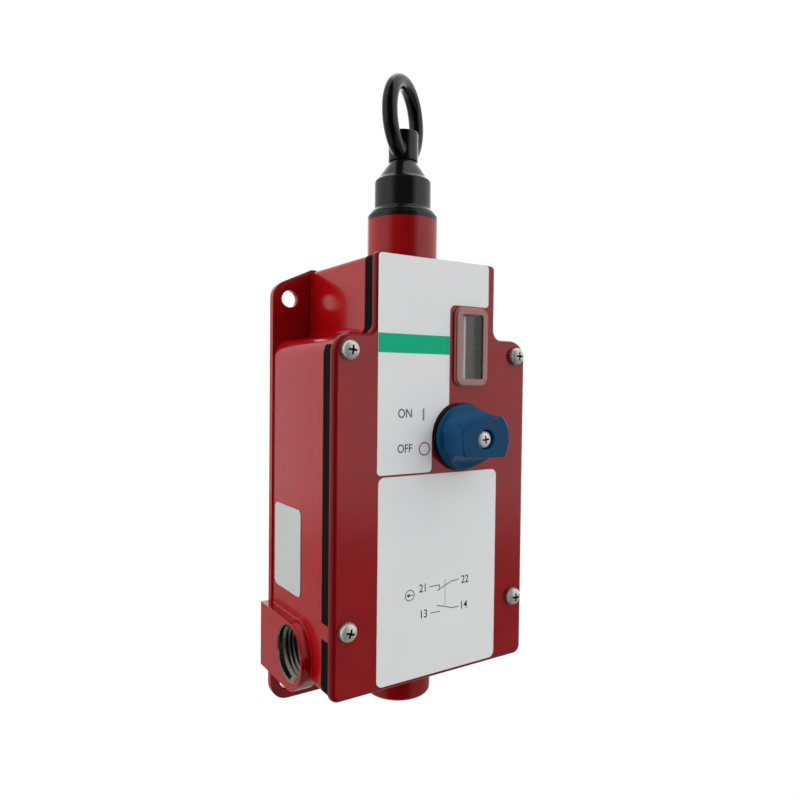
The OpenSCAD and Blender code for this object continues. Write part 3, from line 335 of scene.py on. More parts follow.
def milkLens(size):
    tree = materials["clear_lens"].node_tree
    surface = next(node for node in tree.nodes if node.bl_idname == "ShaderNodeBsdfPrincipled")
    where = addNode(tree, "ShaderNodeTexCoord")
    spot = addNode(tree, "ShaderNodeSeparateXYZ", {"Vector": where.outputs["Object"]})
    reach = []
    for axis in ("X", "Z"):
        off = addNode(tree, "ShaderNodeMath", {0: spot.outputs[axis]}, {1: size["middle"][axis] * mm},
                      operation="SUBTRACT")
        far = addNode(tree, "ShaderNodeMath", {0: off.outputs[0]}, operation="ABSOLUTE")
        reach.append(addNode(tree, "ShaderNodeMath", {0: far.outputs[0]}, {1: size["half"][axis] * mm},
                             operation="SUBTRACT").outputs[0])
    rim = addNode(tree, "ShaderNodeMath", {0: reach[0], 1: reach[1]}, operation="MAXIMUM")
    start, end = size["fade"]
    clear = addNode(tree, "ShaderNodeMapRange", {"Value": rim.outputs[0]},
                    {"From Min": start * mm, "From Max": end * mm,
                     "To Min": 1.0, "To Max": size["leastClear"]})
    milkyPaintedRed = addNode(tree, "ShaderNodeValToRGB", {"Fac": clear.outputs["Result"]})
    for stop, position, colour in zip(milkyPaintedRed.color_ramp.elements, (0.1, 0.9), ("milkyPaintedRed", "clear")):
        stop.position = position
        stop.color = hexColour(size[colour])
    tree.links.new(clear.outputs["Result"], surface.inputs["Transmission Weight"])
    tree.links.new(milkyPaintedRed.outputs["Color"], surface.inputs["Base Color"])


# The frame's pieces by the finish they get, also those that a finer piece replaces below
nodesOfFinish = {
    "red_enamel": ["housing", "cover"], "gasket_rubber": ["cover_gasket", "window_seal", "shaft_seal"],
    "clear_lens": ["window_lens"], "label_white": ["upper_label", "lower_label"], "sideFilm": ["side_label"],
    "screw_steel": ["cover_screws", "lock_washers", "knob_screw", "bracket_screw", "block_screws"],
    "bronze": ["upper_bush", "lower_bush", "spindle_bush"], "boot_rubber": ["boot"],
    "spring_steel": ["main_spring", "seat_clip"],
    "plated_steel": ["top_spring_washer", "spring_seat", "cam_pin", "trip_lever", "follower_pin",
                     "pivot_screw", "reset_crank", "reset_slide", "guide_posts", "switch_bracket"],
    "ground_steel": ["pull_shaft", "knob_spindle"], "black_enamel": ["eye_nut"],
    "ivory_plastic": ["cam_sleeve", "switch_blocks"], "indicator_grey": ["indicator_rod"],
    "blue_plastic": ["reset_knob"], "black_plastic": ["knob_ring"], "plunger_red": ["switch_plungers"],
    "terminal_brass": ["terminal_screws"], "green_zinc": ["ground_screw"],
}


def dressFrame():
    for finish, names in nodesOfFinish.items():
        for name in names:
            cadNodes[name].data.materials.clear()
            cadNodes[name].data.materials.append(materials[finish])


# Housing: the casting's edges and roots are rounded, and the conduit bore is bare metal.
housingSize = {
    # width of each rounding
    "wallRoot": 1.8, "padRoot": 1.4, "neckRoot": 1.4, "bossRoot": 1.0, "bossEnd": 1.8,
    "neckTop": 0.6, "plateEdge": 0.9, "padEdge": 0.8, "rimEdge": 1.2,
    # where the casting's faces lie
    "plateFront": -3.0, "rim": -49.0, "bottom": -67.3, "top": 93.4, "bossBottom": -82.1, "neckTopZ": 114.7,
    "padFace": -48.6, "wall": -44.6,
    # neck and boss axis, mounting holes, conduit bore
    "axisY": -31.2, "neckInner": 12.0, "neckReach": 16.0, "bossReach": 15.0,
    "holeX": 37.5, "holeZ": 81.0, "holeReach": 5.0,
    "boreY": -28.8, "boreZ": -58.0, "boreR": 10.5, "boreReach": 1.2, "boreWall": 0.6, "boreEnd": -33.0,
    "padReach": 15.0,
    # the walls on the outside, and the tab above them
    "sideX": 40.0, "lowZ": -63.5, "highZ": 89.0, "tabX": 25.0, "tabZ": 61.0,
    # from here up the neck is the boot's black foot
    "sealZ": 112.3, "aboveRoot": 3.0,
}


def edgeGroup(edge, size):
    if not isSharp(edge):
        return None
    a, b = (v.co / mm for v in edge.verts)
    x, y, z = (a + b) / 2
    hollow = edge.calc_face_angle_signed() < 0
    axisR = math.hypot(x, y - size["axisY"])
    boreR = math.hypot(y - size["boreY"], z - size["boreZ"])
    holeR = math.hypot(abs(x) - size["holeX"], abs(z) - size["holeZ"])
    if boreR < size["boreR"] + size["boreReach"] or holeR < size["holeReach"]:
        return None
    level = near(a.y, b.y)
    if near(y, size["plateFront"]) and level:
        return "wallRoot" if hollow else "plateEdge"
    if near(y, size["rim"]) and level and not hollow:
        wall = min((f.normal for f in edge.link_faces), key=lambda n: abs(n.y))
        onTab = z > size["tabZ"] and abs(x) > size["tabX"]
        outer = abs(x) > size["sideX"] or z < size["lowZ"] or z > size["highZ"] or onTab
        return "rimEdge" if outer and wall.x * x + wall.z * z > 0 else None
    if near(z, size["neckTopZ"]) and axisR > size["neckInner"]:
        return "neckTop"
    if near(z, size["top"]) and hollow and axisR < size["neckReach"]:
        return "neckRoot"
    if near(z, size["bottom"]) and hollow and axisR < size["bossReach"]:
        return "bossRoot"
    if near(z, size["bossBottom"]):
        return "bossEnd"
    if near(x, size["padFace"]) and not hollow:
        return "padEdge"
    if near(x, size["wall"]) and hollow and abs(z - size["boreZ"]) < size["padReach"]:
        return "padRoot"
    return None


def makeHousing(size):
    shape = cadShape("housing")
    for face in shape.faces:
        inBore = all(math.hypot(v.co.y / mm - size["boreY"], v.co.z / mm - size["boreZ"]) <
                     size["boreR"] + size["boreWall"] for v in face.verts)
        if inBore and face.calc_center_median().x / mm < size["boreEnd"]:
            face.material_index = 1
    for group in ("wallRoot", "padRoot", "neckRoot", "bossRoot", "bossEnd", "neckTop", "plateEdge",
                  "padEdge", "rimEdge"):  # the order matters where two roundings meet
        edges = [e for e in shape.edges if edgeGroup(e, size) == group]
        roundEdges(shape, edges, size[group], 4, slide=True)
        print("  housing", group, len(edges), "edges")
    bmesh.ops.remove_doubles(shape, verts=shape.verts, dist=2e-6)  # joins what the roundings left together
    neck = [f for f in shape.faces if f.calc_center_median().z / mm > size["top"] + size["aboveRoot"]]
    around = set(neck) | {e for f in neck for e in f.edges} | {v for f in neck for v in f.verts}
    bmesh.ops.bisect_plane(shape, geom=list(around), plane_co=(0, 0, size["sealZ"] * mm), plane_no=(0, 0, 1))
    for face in shape.faces:
        if face.calc_center_median().z > size["sealZ"] * mm:
            face.material_index = 2
    piece = objectFrom(shape, "housingCasting", ["red_enamel", "bareThread", "boot_rubber"])
    finishCasting(piece, 32)
    place(piece, "case", "red_enamel", "housing")


# Cover: the front edge is rounded widely, and the rim gets painted shade, a darker and duller enamel.
coverSize = {
    "edge": 2.0, "backEdge": 0.3, "front": -57.8, "back": -54.8,
    "flatEnough": 0.9,  # a face leaning more than this counts as rim
    "screwX": 39.0, "screwsZ": (57.7, -42.2), "screwReach": 3.0,
    "knob": (11.0, 25.4, 8.0), "window": (15.2, 60.6, 7.5, 15.0),
}


def makeCover(size):
    shape = cadShape("cover")

    def outlineAt(y):  # the sharp edges at this depth that belong to no opening
        knobX, knobZ, knobR = size["knob"]
        windowX, windowZ, halfW, halfH = size["window"]
        found = []
        for e in shape.edges:
            if not isSharp(e) or not all(near(v.co.y / mm, y) for v in e.verts):
                continue
            middle = (e.verts[0].co + e.verts[1].co) / 2 / mm
            x, z = middle.x, middle.z
            atScrew = any(math.hypot(abs(x) - size["screwX"], z - screwZ) < size["screwReach"]
                          for screwZ in size["screwsZ"])
            atKnob = math.hypot(x - knobX, z - knobZ) < knobR
            atWindow = abs(x - windowX) < halfW and abs(z - windowZ) < halfH
            if not (atScrew or atKnob or atWindow):
                found.append(e)
        return found

    roundEdges(shape, outlineAt(size["front"]), size["edge"], 5)
    roundEdges(shape, outlineAt(size["back"]), size["backEdge"], 2)
    # faces of the rounded rim get the painted shade
    for face in shape.faces:
        face.normal_update()
        if face.normal.y > -size["flatEnough"]:
            face.material_index = 1
    piece = objectFrom(shape, "coverPlate", ["red_enamel", "rimPaintedShade"])
    finishCasting(piece, 32)
    place(piece, "case", "red_enamel", "cover")


# Window: the lens's front edges are rounded like a moulding.
lensSize = {"edge": 0.45, "front": -57.9, "coverFace": -57.0}


def makeLens(size):
    shape = cadShape("window_lens")
    sharp = [e for e in shape.edges if isSharp(e) and min(v.co.y for v in e.verts) / mm < size["front"]]
    # side walls get the opaque painted red
    for face in shape.faces:
        if abs(face.normal.y) < 0.5 and face.calc_center_median().y / mm < size["coverFace"]:
            face.material_index = 1
    roundEdges(shape, sharp, size["edge"], 3)
    piece = objectFrom(shape, "windowLens", ["clear_lens", "lensWall"])
    finishCasting(piece, 30)
    place(piece, "case", "clear_lens", "window_lens")


# Eye and knob: a voxel skin softens every edge, as a forging and a moulding have it.
eyeSize = {"voxel": 0.30, "passes": 8}
knobSize = {"voxel": 0.2, "passes": 6, "base": -59.05, "top": -73.61}


def remeshed(node, name, size, surface):
    piece = objectFrom(cadShape(node, joined=False), name, [surface])
    remesh = piece.modifiers.new("skin", "REMESH")
    remesh.mode = "VOXEL"
    remesh.voxel_size = size["voxel"] * mm
    remesh.use_smooth_shade = True
    soften = piece.modifiers.new("soften", "SMOOTH")
    soften.iterations = size["passes"]
    applyModifiers(piece)
    piece.data.shade_smooth()
    return piece


def makeEye(size):
    piece = remeshed("eye_nut", "eyeForging", size, "black_enamel")
    place(piece, "shaft", "black_enamel", "eye_nut")


def makeKnob(size):
    piece = remeshed("reset_knob", "knobMoulding", size, "blue_plastic")
    low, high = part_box("reset_knob")
    press = (size["base"] - size["top"]) / (size["base"] - low[1] / mm)  # leaves room for the pointer
    piece.data.transform(Matrix.Translation((0, size["base"] * mm, 0)) @ Matrix.Diagonal((1, press, 1, 1)) @
                         Matrix.Translation((0, -size["base"] * mm, 0)))
    place(piece, "knob", "blue_plastic", "reset_knob")


# Boot: one turned skin, closer rings where it stretches.
bootSize = {
    "foot": 13.5, "footTop": 1.2, "lip": 0.3, "footRound": 0.4, "barrel": 11.7, "flare": 3.2,
    "shoulder": 14.6, "shoulderR": 1.3, "shoulderDrop": 1.2, "cone": 21.0, "top": 5.9, "collar": 0.5,
    "height": 22.1, "bore": 5.06, "wall": 1.6, "boreFrom": 2.6, "hollowTop": 1.0,
    "y": -31.2, "z": 114.7, "sides": 96, "blendFrom": 118.9, "blendTo": 131.0,
}


def arcPoints(cx, cz, r, start, end, steps):
    return [(cx + r * math.cos(math.radians(start + (end - start) * i / steps)),
             cz + r * math.sin(math.radians(start + (end - start) * i / steps))) for i in range(steps + 1)]


def turned(profile, axis, sides, name, surfaces):
    shape = bmesh.new()
    rings = []
    for k in range(sides):
        turn = 2 * math.pi * k / sides
        rings.append([shape.verts.new(((axis[0] + r * math.cos(turn)) * mm,
                                       (axis[1] + r * math.sin(turn)) * mm,
                                       (axis[2] + z) * mm)) for r, z in profile])
    count = len(profile)
    for k in range(sides):
        here, after = rings[k], rings[(k + 1) % sides]
        for i in range(count):
            j = (i + 1) % count
            shape.faces.new((here[i], after[i], after[j], here[j]))
    bmesh.ops.recalc_face_normals(shape, faces=shape.faces)
    return objectFrom(shape, name, surfaces)


def makeBoot(size):
    foot, footTop, lip, footRound = (size[k] for k in ("foot", "footTop", "lip", "footRound"))
    barrel, top, collar, height = (size[k] for k in ("barrel", "top", "collar", "height"))
    flare, shoulder, cone = (size[k] for k in ("flare", "shoulder", "cone"))
    bend = foot - lip - barrel
    straight = shoulder - size["shoulderDrop"]
    outside = [(foot - lip, 0), (foot, lip), (foot, footTop - footRound), (foot - footRound, footTop)]
    outside += arcPoints(barrel + bend, flare, bend, 255, 180, 8)
    outside += [(barrel, flare + (straight - flare) * i / 12) for i in range(1, 12)]
    outside += arcPoints(barrel - size["shoulderR"], straight, size["shoulderR"], 0, 62, 6)
    coneR, coneZ = outside[-1]
    outside += [(coneR + (top + collar - coneR) * i / 5, coneZ + (cone - coneZ) * i / 5) for i in range(1, 5)]
    outside += [(top + collar / 2, cone + 0.1), (top, cone + 0.6)]
    outside += [(top, height - footRound), (top - 0.35, height)]
    inner = barrel - size["wall"]
    hollow = shoulder - size["hollowTop"]
    inside = [(size["bore"], height), (size["bore"], shoulder + size["boreFrom"])]
    inside += [(inner, hollow - hollow * i / 10) for i in range(11)]
    piece = turned(outside + inside, (0, size["y"], size["z"]), size["sides"], "bootSkin", ["boot_rubber"])
    smoothShade(piece, 50)
    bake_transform(piece)
    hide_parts("boot")


# Geometry Nodes: a coil for the spring and the conduit thread, and a set for screws and washers.
def newTree(name, inputs):
    tree = bpy.data.node_groups.new(name, "GeometryNodeTree")
    tree.interface.new_socket("Geometry", in_out="INPUT", socket_type="NodeSocketGeometry")
    for label, kind, value in inputs:
        socket = tree.interface.new_socket(label, in_out="INPUT", socket_type=kind)
        if value is not None:
            socket.default_value = value
    tree.interface.new_socket("Geometry", in_out="OUTPUT", socket_type="NodeSocketGeometry")
    return tree


def coilTree():
    tree = newTree("coil", [("Radius", "NodeSocketFloat", 0.01), ("Rise", "NodeSocketFloat", 0.01),
                            ("Turns", "NodeSocketFloat", 5.0), ("Wire", "NodeSocketFloat", 0.001),
                            ("Wire sides", "NodeSocketInt", 12), ("Steps", "NodeSocketInt", 48),
                            ("Material", "NodeSocketMaterial", None)])
    given = addNode(tree, "NodeGroupInput")
    spiral = addNode(tree, "GeometryNodeCurveSpiral",
                     {"Resolution": given.outputs["Steps"], "Rotations": given.outputs["Turns"],
                      "Start Radius": given.outputs["Radius"], "End Radius": given.outputs["Radius"],
                      "Height": given.outputs["Rise"]})
    upright = addNode(tree, "GeometryNodeSetCurveNormal", {"Curve": spiral.outputs["Curve"]}, mode="Z_UP")
    section = addNode(tree, "GeometryNodeCurvePrimitiveCircle",
                      {"Resolution": given.outputs["Wire sides"], "Radius": given.outputs["Wire"]})
    swept = addNode(tree, "GeometryNodeCurveToMesh",
                    {"Curve": upright.outputs["Curve"], "Profile Curve": section.outputs["Curve"]},
                    {"Fill Caps": True})
    finish = addNode(tree, "GeometryNodeSetMaterial",
                     {"Geometry": swept.outputs["Mesh"], "Material": given.outputs["Material"]})
    addNode(tree, "NodeGroupOutput", {"Geometry": finish.outputs["Geometry"]})
    return tree


def setTree():
    tree = newTree("fastenerSet", [("Pattern", "NodeSocketObject", None), ("Turn", "NodeSocketFloat", 6.2832),
                                   ("Seed", "NodeSocketInt", 3), ("Recess", "NodeSocketMaterial", None),
                                   ("Material", "NodeSocketMaterial", None)])
    given = addNode(tree, "NodeGroupInput")
    pattern = addNode(tree, "GeometryNodeObjectInfo", {"Object": given.outputs["Pattern"]},
                      {"As Instance": True})
    angle = addNode(tree, "FunctionNodeRandomValue",
                    {"Max": given.outputs["Turn"], "Seed": given.outputs["Seed"]}, data_type="FLOAT")
    turn = addNode(tree, "ShaderNodeCombineXYZ", {"Y": angle.outputs[1]})
    dots = addNode(tree, "GeometryNodeMeshToPoints", {"Mesh": given.outputs["Geometry"]})
    copies = addNode(tree, "GeometryNodeInstanceOnPoints",
                     {"Points": dots.outputs["Points"], "Instance": pattern.outputs["Geometry"],
                      "Rotation": turn.outputs["Vector"]})
    # faces in the recess get the dark painted shade, the rest the plate
    deep = addNode(tree, "GeometryNodeInputNamedAttribute", values={"Name": "recess"}, data_type="BOOLEAN")
    shallow = addNode(tree, "FunctionNodeBooleanMath", {0: deep.outputs["Attribute"]}, operation="NOT")
    real = addNode(tree, "GeometryNodeRealizeInstances", {"Geometry": copies.outputs["Instances"]})
    lined = addNode(tree, "GeometryNodeSetMaterial",
                    {"Geometry": real.outputs["Geometry"], "Material": given.outputs["Recess"]})
    finish = addNode(tree, "GeometryNodeSetMaterial",
                     {"Geometry": lined.outputs["Geometry"], "Selection": shallow.outputs["Boolean"],
                      "Material": given.outputs["Material"]})
    addNode(tree, "NodeGroupOutput", {"Geometry": finish.outputs["Geometry"]})
    return tree


def grown(tree, name, values, places=((0, 0, 0),)):
    mesh = bpy.data.meshes.new(name)
    mesh.from_pydata([Vector(p) * mm for p in places], [], [])
    piece = bpy.data.objects.new(name, mesh)
    scene.collection.objects.link(piece)
    maker = piece.modifiers.new("maker", "NODES")
    maker.node_group = tree
    sockets = {s.name: s.identifier for s in tree.interface.items_tree if s.in_out == "INPUT"}
    for label, value in values.items():
        maker[sockets[label]] = value
    applyModifiers(piece)
    return piece


def settle(piece, matrix):  # place a finished mesh, and leave its object at the origin
    piece.data.transform(matrix)
    piece.data.update()


springSize = {"radius": 9.0, "wire": 1.2, "turns": 8, "bottom": 41.0, "top": 88.9, "y": -31.2, "gap": 0.05,
              "keep": 33.9 / 47.9,  # length at full pull over length at rest
              "sides": 12, "steps": 40}
threadSize = {"radius": 10.5, "pitch": 1.814, "turns": 6, "ridge": 0.95, "face": -48.6, "lead": 0.7,
              "y": -28.8, "z": -58.0, "sides": 4, "steps": 72}


def makeSpring(tree, size):
    rise = size["top"] - size["bottom"] - 2 * (size["wire"] + size["gap"])
    piece = grown(tree, "mainSpringCoil", {
        "Radius": size["radius"] * mm, "Rise": rise * mm, "Turns": size["turns"], "Wire": size["wire"] * mm,
        "Wire sides": size["sides"], "Steps": size["steps"], "Material": materials["spring_steel"]})
    start = Vector((0, size["y"], size["bottom"] + size["wire"] + size["gap"])) * mm
    settle(piece, Matrix.Translation(start))
    smoothShade(piece, 60)
    place(piece, "case", "spring_steel", "main_spring")
    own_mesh(piece)


def makeThread(tree, size):
    piece = grown(tree, "conduitThread", {
        "Radius": size["radius"] * mm, "Rise": size["pitch"] * size["turns"] * mm, "Turns": size["turns"],
        "Wire": size["ridge"] * mm, "Wire sides": size["sides"], "Steps": size["steps"],
        "Material": materials["bareThread"]})
    start = Vector((size["face"] + size["lead"] + size["ridge"], size["y"], size["z"])) * mm
    settle(piece, Matrix.Translation(start) @ Matrix.Rotation(math.radians(90), 4, "Y"))
    smoothShade(piece, 40)
    place(piece, "case", "screw_steel")


screwSize = {"head": 3.3, "height": 2.3, "shank": 1.7, "length": 12, "wing": 2.1, "slot": 0.85,
             "deep": 1.5, "seat": -58.6,
             "places": [(-39.0, 57.7), (39.0, 57.7), (-39.0, -42.2), (39.0, -42.2)]}
knobScrewSize = {"head": 3.2, "height": 2.0, "shank": 1.45, "length": 8, "wing": 1.9, "slot": 0.8,
                 "deep": 1.2, "seat": -71.25, "places": [(11.0, 25.4)]}
headShape = {
    "sides": 48, "chamfer": (0.15, 0.2), "clear": 0.3,
    "wall": 0.42, "dome": 0.45, "crown": 0.96,  # shares of the head's height, height and radius
    "domeSteps": (15, 30, 45, 60, 72, 82),  # degrees
    "recessBottom": (0.35, 0.7),  # shares of the wing's length and the slot's width
}
washerSize = {"outer": 3.75, "root": 3.5, "hole": 1.9, "thick": 0.8, "teeth": 18, "twist": 0.3,
              "seat": -57.8, "places": screwSize["places"]}


def makeScrewPattern(size, form, name):
    head, high = size["head"], size["height"]
    inset, lift = form["chamfer"]
    profile = [(size["shank"], size["length"]), (size["shank"], 0.0), (head - inset, 0.0), (head, -lift)]
    profile += [(head, -high * form["wall"])]
    profile += [(head * math.cos(math.radians(a)) * form["crown"],
                 -high * form["dome"] - high * (1 - form["dome"]) * math.sin(math.radians(a)))
                for a in form["domeSteps"]]
    shape = bmesh.new()
    rings = []
    for k in range(form["sides"]):
        turn = 2 * math.pi * k / form["sides"]
        rings.append([shape.verts.new((r * math.cos(turn) * mm, y * mm, r * math.sin(turn) * mm))
                      for r, y in profile])
    for k in range(form["sides"]):
        here, after = rings[k], rings[(k + 1) % form["sides"]]
        for i in range(len(profile) - 1):
            shape.faces.new((here[i], after[i], after[i + 1], here[i + 1]))
    shape.faces.new([ring[-1] for ring in rings])
    shape.faces.new([ring[0] for ring in reversed(rings)])
    bmesh.ops.recalc_face_normals(shape, faces=shape.faces)
    blank = objectFrom(shape, name, ["screw_steel", "screwRecessShade"])

    cutShape = bmesh.new()
    wing, slot = size["wing"], size["slot"] / 2
    front, bottom = -high - form["clear"], -high + size["deep"]
    shorter, narrower = form["recessBottom"]
    for turn in (0, 90):  # two tapered bars make the cross
        made = [cutShape.verts.new(Vector(c) * mm) for c in (
            (-wing, front, -slot), (wing, front, -slot), (wing, front, slot), (-wing, front, slot),
            (-wing * shorter, bottom, -slot * narrower), (wing * shorter, bottom, -slot * narrower),
            (wing * shorter, bottom, slot * narrower), (-wing * shorter, bottom, slot * narrower))]
        for ring in ((0, 1, 2, 3), (7, 6, 5, 4), (0, 4, 5, 1), (1, 5, 6, 2), (2, 6, 7, 3), (3, 7, 4, 0)):
            cutShape.faces.new([made[i] for i in ring])
        bmesh.ops.rotate(cutShape, verts=made, matrix=Matrix.Rotation(math.radians(turn), 3, "Y"))
    bmesh.ops.recalc_face_normals(cutShape, faces=cutShape.faces)
    # the cross's faces carry the recess's painted shade
    for face in cutShape.faces:
        face.material_index = 1
    cutter = objectFrom(cutShape, name + "Recess", ["screw_steel", "screwRecessShade"])
    cut = blank.modifiers.new("recess", "BOOLEAN")
    cut.operation = "DIFFERENCE"
    cut.solver = "EXACT"
    cut.use_self = True
    cut.object = cutter
    applyModifiers(blank)
    bpy.data.objects.remove(cutter)
    smoothShade(blank)
    mark = blank.data.attributes.new("recess", "BOOLEAN", "FACE")
    mark.data.foreach_set("value", [face.material_index == 1 for face in blank.data.polygons])
    return blank


def makeWasherPattern(size):
    shape = bmesh.new()
    count = size["teeth"] * 4
    front, back = [], []
    for k in range(count):
        tooth = k % 4 in (1, 2)
        reach = size["outer"] if tooth else size["root"]
        lean = size["twist"] if tooth else 0
        for ring, y, sway in ((front, -size["thick"], lean), (back, 0, -lean)):
            turn = 2 * math.pi * (k + sway) / count
            ring.append((shape.verts.new((reach * math.cos(turn) * mm, y * mm, reach * math.sin(turn) * mm)),
                         shape.verts.new((size["hole"] * math.cos(turn) * mm, y * mm,
                                          size["hole"] * math.sin(turn) * mm))))
    for k in range(count):
        n = (k + 1) % count
        shape.faces.new((front[k][0], front[n][0], front[n][1], front[k][1]))
        shape.faces.new((back[k][1], back[n][1], back[n][0], back[k][0]))
        shape.faces.new((front[n][0], front[k][0], back[k][0], back[n][0]))
        shape.faces.new((front[k][1], front[n][1], back[n][1], back[k][1]))
    bmesh.ops.recalc_face_normals(shape, faces=shape.faces)
    return objectFrom(shape, "washerPattern", ["screw_steel"])


def makeFasteners(tree):
    head = makeScrewPattern(screwSize, headShape, "screwPattern")
    washer = makeWasherPattern(washerSize)
    small = makeScrewPattern(knobScrewSize, headShape, "knobScrewPattern")
    for name, pattern, size, seed, body, node, finish in (
            ("coverScrewSet", head, screwSize, 5, "case", "cover_screws", "screw_steel"),
            ("lockWasherSet", washer, washerSize, 9, "case", "lock_washers", "washerSteel"),
            ("knobScrewHead", small, knobScrewSize, 2, "knob", "knob_screw", "knobScrew")):
        piece = grown(tree, name, {"Pattern": pattern, "Turn": 2 * math.pi, "Seed": seed,
                                   "Recess": materials["screwRecessShade"], "Material": materials[finish]},
                      [(x, size["seat"], z) for x, z in size["places"]])
        smoothShade(piece)
        place(piece, body, "screw_steel", node)
    for pattern in (head, washer, small):
        bpy.data.objects.remove(pattern)


# Print on the labels: plain marks only, a hair proud of the film.
printSize = {
    "film": -58.05, "proud": 0.02, "sunk": 0.01, "stroke": 0.3, "ringSides": 48,
    "band": (-27.18, 4.98, 57.3, 64.4),  # left, right, low, high
    "onMark": (-7.0, 34.4, 0.75, 4.6),  # x, z, wide, tall
    "offMark": (-6.4, 21.4, 2.6, 0.45),  # x, z, radius, stroke
    "symbol": (-12.3, -33.7, 2.0, 0.28),
    "arrow": (1.5, 0.1, 0.8),  # tip, back, half width
    "over": 0.004,  # keeps crossing marks apart
    "words": [  # text, middle, baseline, height of its capitals, ink
        ("ON", -15.3, 33.4, 3.3, "greyInk"), ("OFF", -15.3, 20.4, 3.1, "greyInk"),
        ("21", -6.2, -33.3, 3.1, "blackInk"), ("22", 14.0, -32.8, 3.1, "blackInk"),
        ("13", -5.9, -43.3, 3.1, "blackInk"), ("14", 13.5, -43.0, 3.1, "blackInk")],
    "capitals": 0.7, "bolder": 0.03, "thick": 0.015, "narrow": 0.86, "textProud": 0.005,
    "lines": [
        [(-3.3, -31.8), (1.5, -31.8), (1.5, -33.4)],
        [(0.6, -33.9), (4.3, -32.3), (7.5, -31.2), (10.7, -31.0)],
        [(-2.6, -42.1), (1.8, -42.1)],
        [(0.4, -39.6), (3.6, -40.5), (7.7, -41.8), (10.7, -41.8)],
        [(-10.9, -33.7), (-13.8, -33.7)]],
    "link": [(4.2, -30.2), (4.3, -40.4)], "dashes": 9, "dash": 0.6, "linkStroke": 0.7,
}
pointerSize = {"x": 11.0, "z": 25.4, "face": -73.61, "angle": 205, "start": 4.4, "length": 4.6, "width": 0.42,
               "tip": 1.0, "tipHalf": 0.6, "over": 0.004}


def flatPatch(shape, outline, y):  # one closed flat plate from an outline in X and Z
    front = [shape.verts.new((x * mm, (y - printSize["proud"]) * mm, z * mm)) for x, z in outline]
    back = [shape.verts.new((x * mm, (y + printSize["sunk"]) * mm, z * mm)) for x, z in outline]
    shape.faces.new(front)
    shape.faces.new(list(reversed(back)))
    for i in range(len(outline)):
        j = (i + 1) % len(outline)
        shape.faces.new((front[j], front[i], back[i], back[j]))


def strokePatch(shape, a, b, width, y):
    a, b = Vector(a), Vector(b)
    along = (b - a).normalized() * width / 2
    across = Vector((-along.y, along.x))
    flatPatch(shape, [a - along + across, a - along - across, b + along - across, b + along + across], y)


def ringPatch(shape, x, z, r, width, y):
    inner, outer, sides = r - width / 2, r + width / 2, printSize["ringSides"]
    for k in range(sides):
        a, b = 2 * math.pi * k / sides, 2 * math.pi * (k + 1) / sides
        flatPatch(shape, [(x + reach * math.cos(turn), z + reach * math.sin(turn))
                          for turn, reach in ((a, inner), (a, outer), (b, outer), (b, inner))], y)


def addWord(shape, word, x, z, tall, y, size):
    text = bpy.data.curves.new("word", "FONT")
    text.body = word
    text.align_x = "CENTER"
    text.size = tall / size["capitals"] * mm
    text.offset = size["bolder"] * mm
    text.extrude = size["thick"] * mm
    carrier = bpy.data.objects.new("word", text)
    scene.collection.objects.link(carrier)
    bpy.context.view_layer.update()
    mesh = bpy.data.meshes.new_from_object(carrier.evaluated_get(bpy.context.evaluated_depsgraph_get()))
    mesh.transform(Matrix.Translation(Vector((x, y - size["textProud"], z)) * mm) @
                   Matrix.Rotation(math.radians(90), 4, "X") @ Matrix.Diagonal((size["narrow"], 1, 1, 1)))
    shape.from_mesh(mesh)
    bpy.data.objects.remove(carrier)


def makePrint(size):
    inks = {ink: bmesh.new() for ink in ("greenInk", "maroonInk", "greyInk", "blackInk")}
    y = size["film"]
    left, right, low, high = size["band"]
    flatPatch(inks["greenInk"], [(left, low), (right, low), (right, high), (left, high)], y)
    x, z, wide, tall = size["onMark"]
    flatPatch(inks["greenInk"], [(x - wide / 2, z - tall / 2), (x + wide / 2, z - tall / 2),
                                 (x + wide / 2, z + tall / 2), (x - wide / 2, z + tall / 2)], y)
    x, z, r, width = size["offMark"]
    ringPatch(inks["maroonInk"], x, z, r - width / 2, width, y)
    for path in size["lines"]:
        for a, b in zip(path, path[1:]):
            strokePatch(inks["blackInk"], a, b, size["stroke"], y)
    a, b = (Vector(p) for p in size["link"])
    count = size["dashes"]
    for i in range(count):
        strokePatch(inks["blackInk"], a.lerp(b, i / count), a.lerp(b, (i + size["dash"]) / count),
                    size["stroke"] * size["linkStroke"], y)
    x, z, r, width = size["symbol"]
    ringPatch(inks["blackInk"], x, z, r, width, y)
    tip, back, half = size["arrow"]
    flatPatch(inks["blackInk"], [(x - back, z + half), (x - back, z - half), (x - tip, z)], y - size["over"])
    for ink, shape in inks.items():
        bmesh.ops.recalc_face_normals(shape, faces=shape.faces)
        for word, x, z, tall, wordInk in size["words"]:
            if wordInk == ink:
                addWord(shape, word, x, z, tall, y, size)
        piece = objectFrom(shape, ink + "Print", [ink])
        place(piece, "case", "label_white")


def makePointer(size):
    shape = bmesh.new()
    angle = math.radians(size["angle"])
    along = Vector((math.cos(angle), math.sin(angle)))
    across = Vector((-math.sin(angle), math.cos(angle)))
    start = Vector((size["x"], size["z"])) + along * size["start"]
    end = start + along * size["length"]
    strokePatch(shape, start, end, size["width"], size["face"])
    half = across * size["tipHalf"]
    flatPatch(shape, [end + along * size["tip"], end - half, end + half], size["face"] - size["over"])
    bmesh.ops.recalc_face_normals(shape, faces=shape.faces)
    piece = objectFrom(shape, "knobPointer", ["black_plastic"])
    place(piece, "knob", "black_plastic")


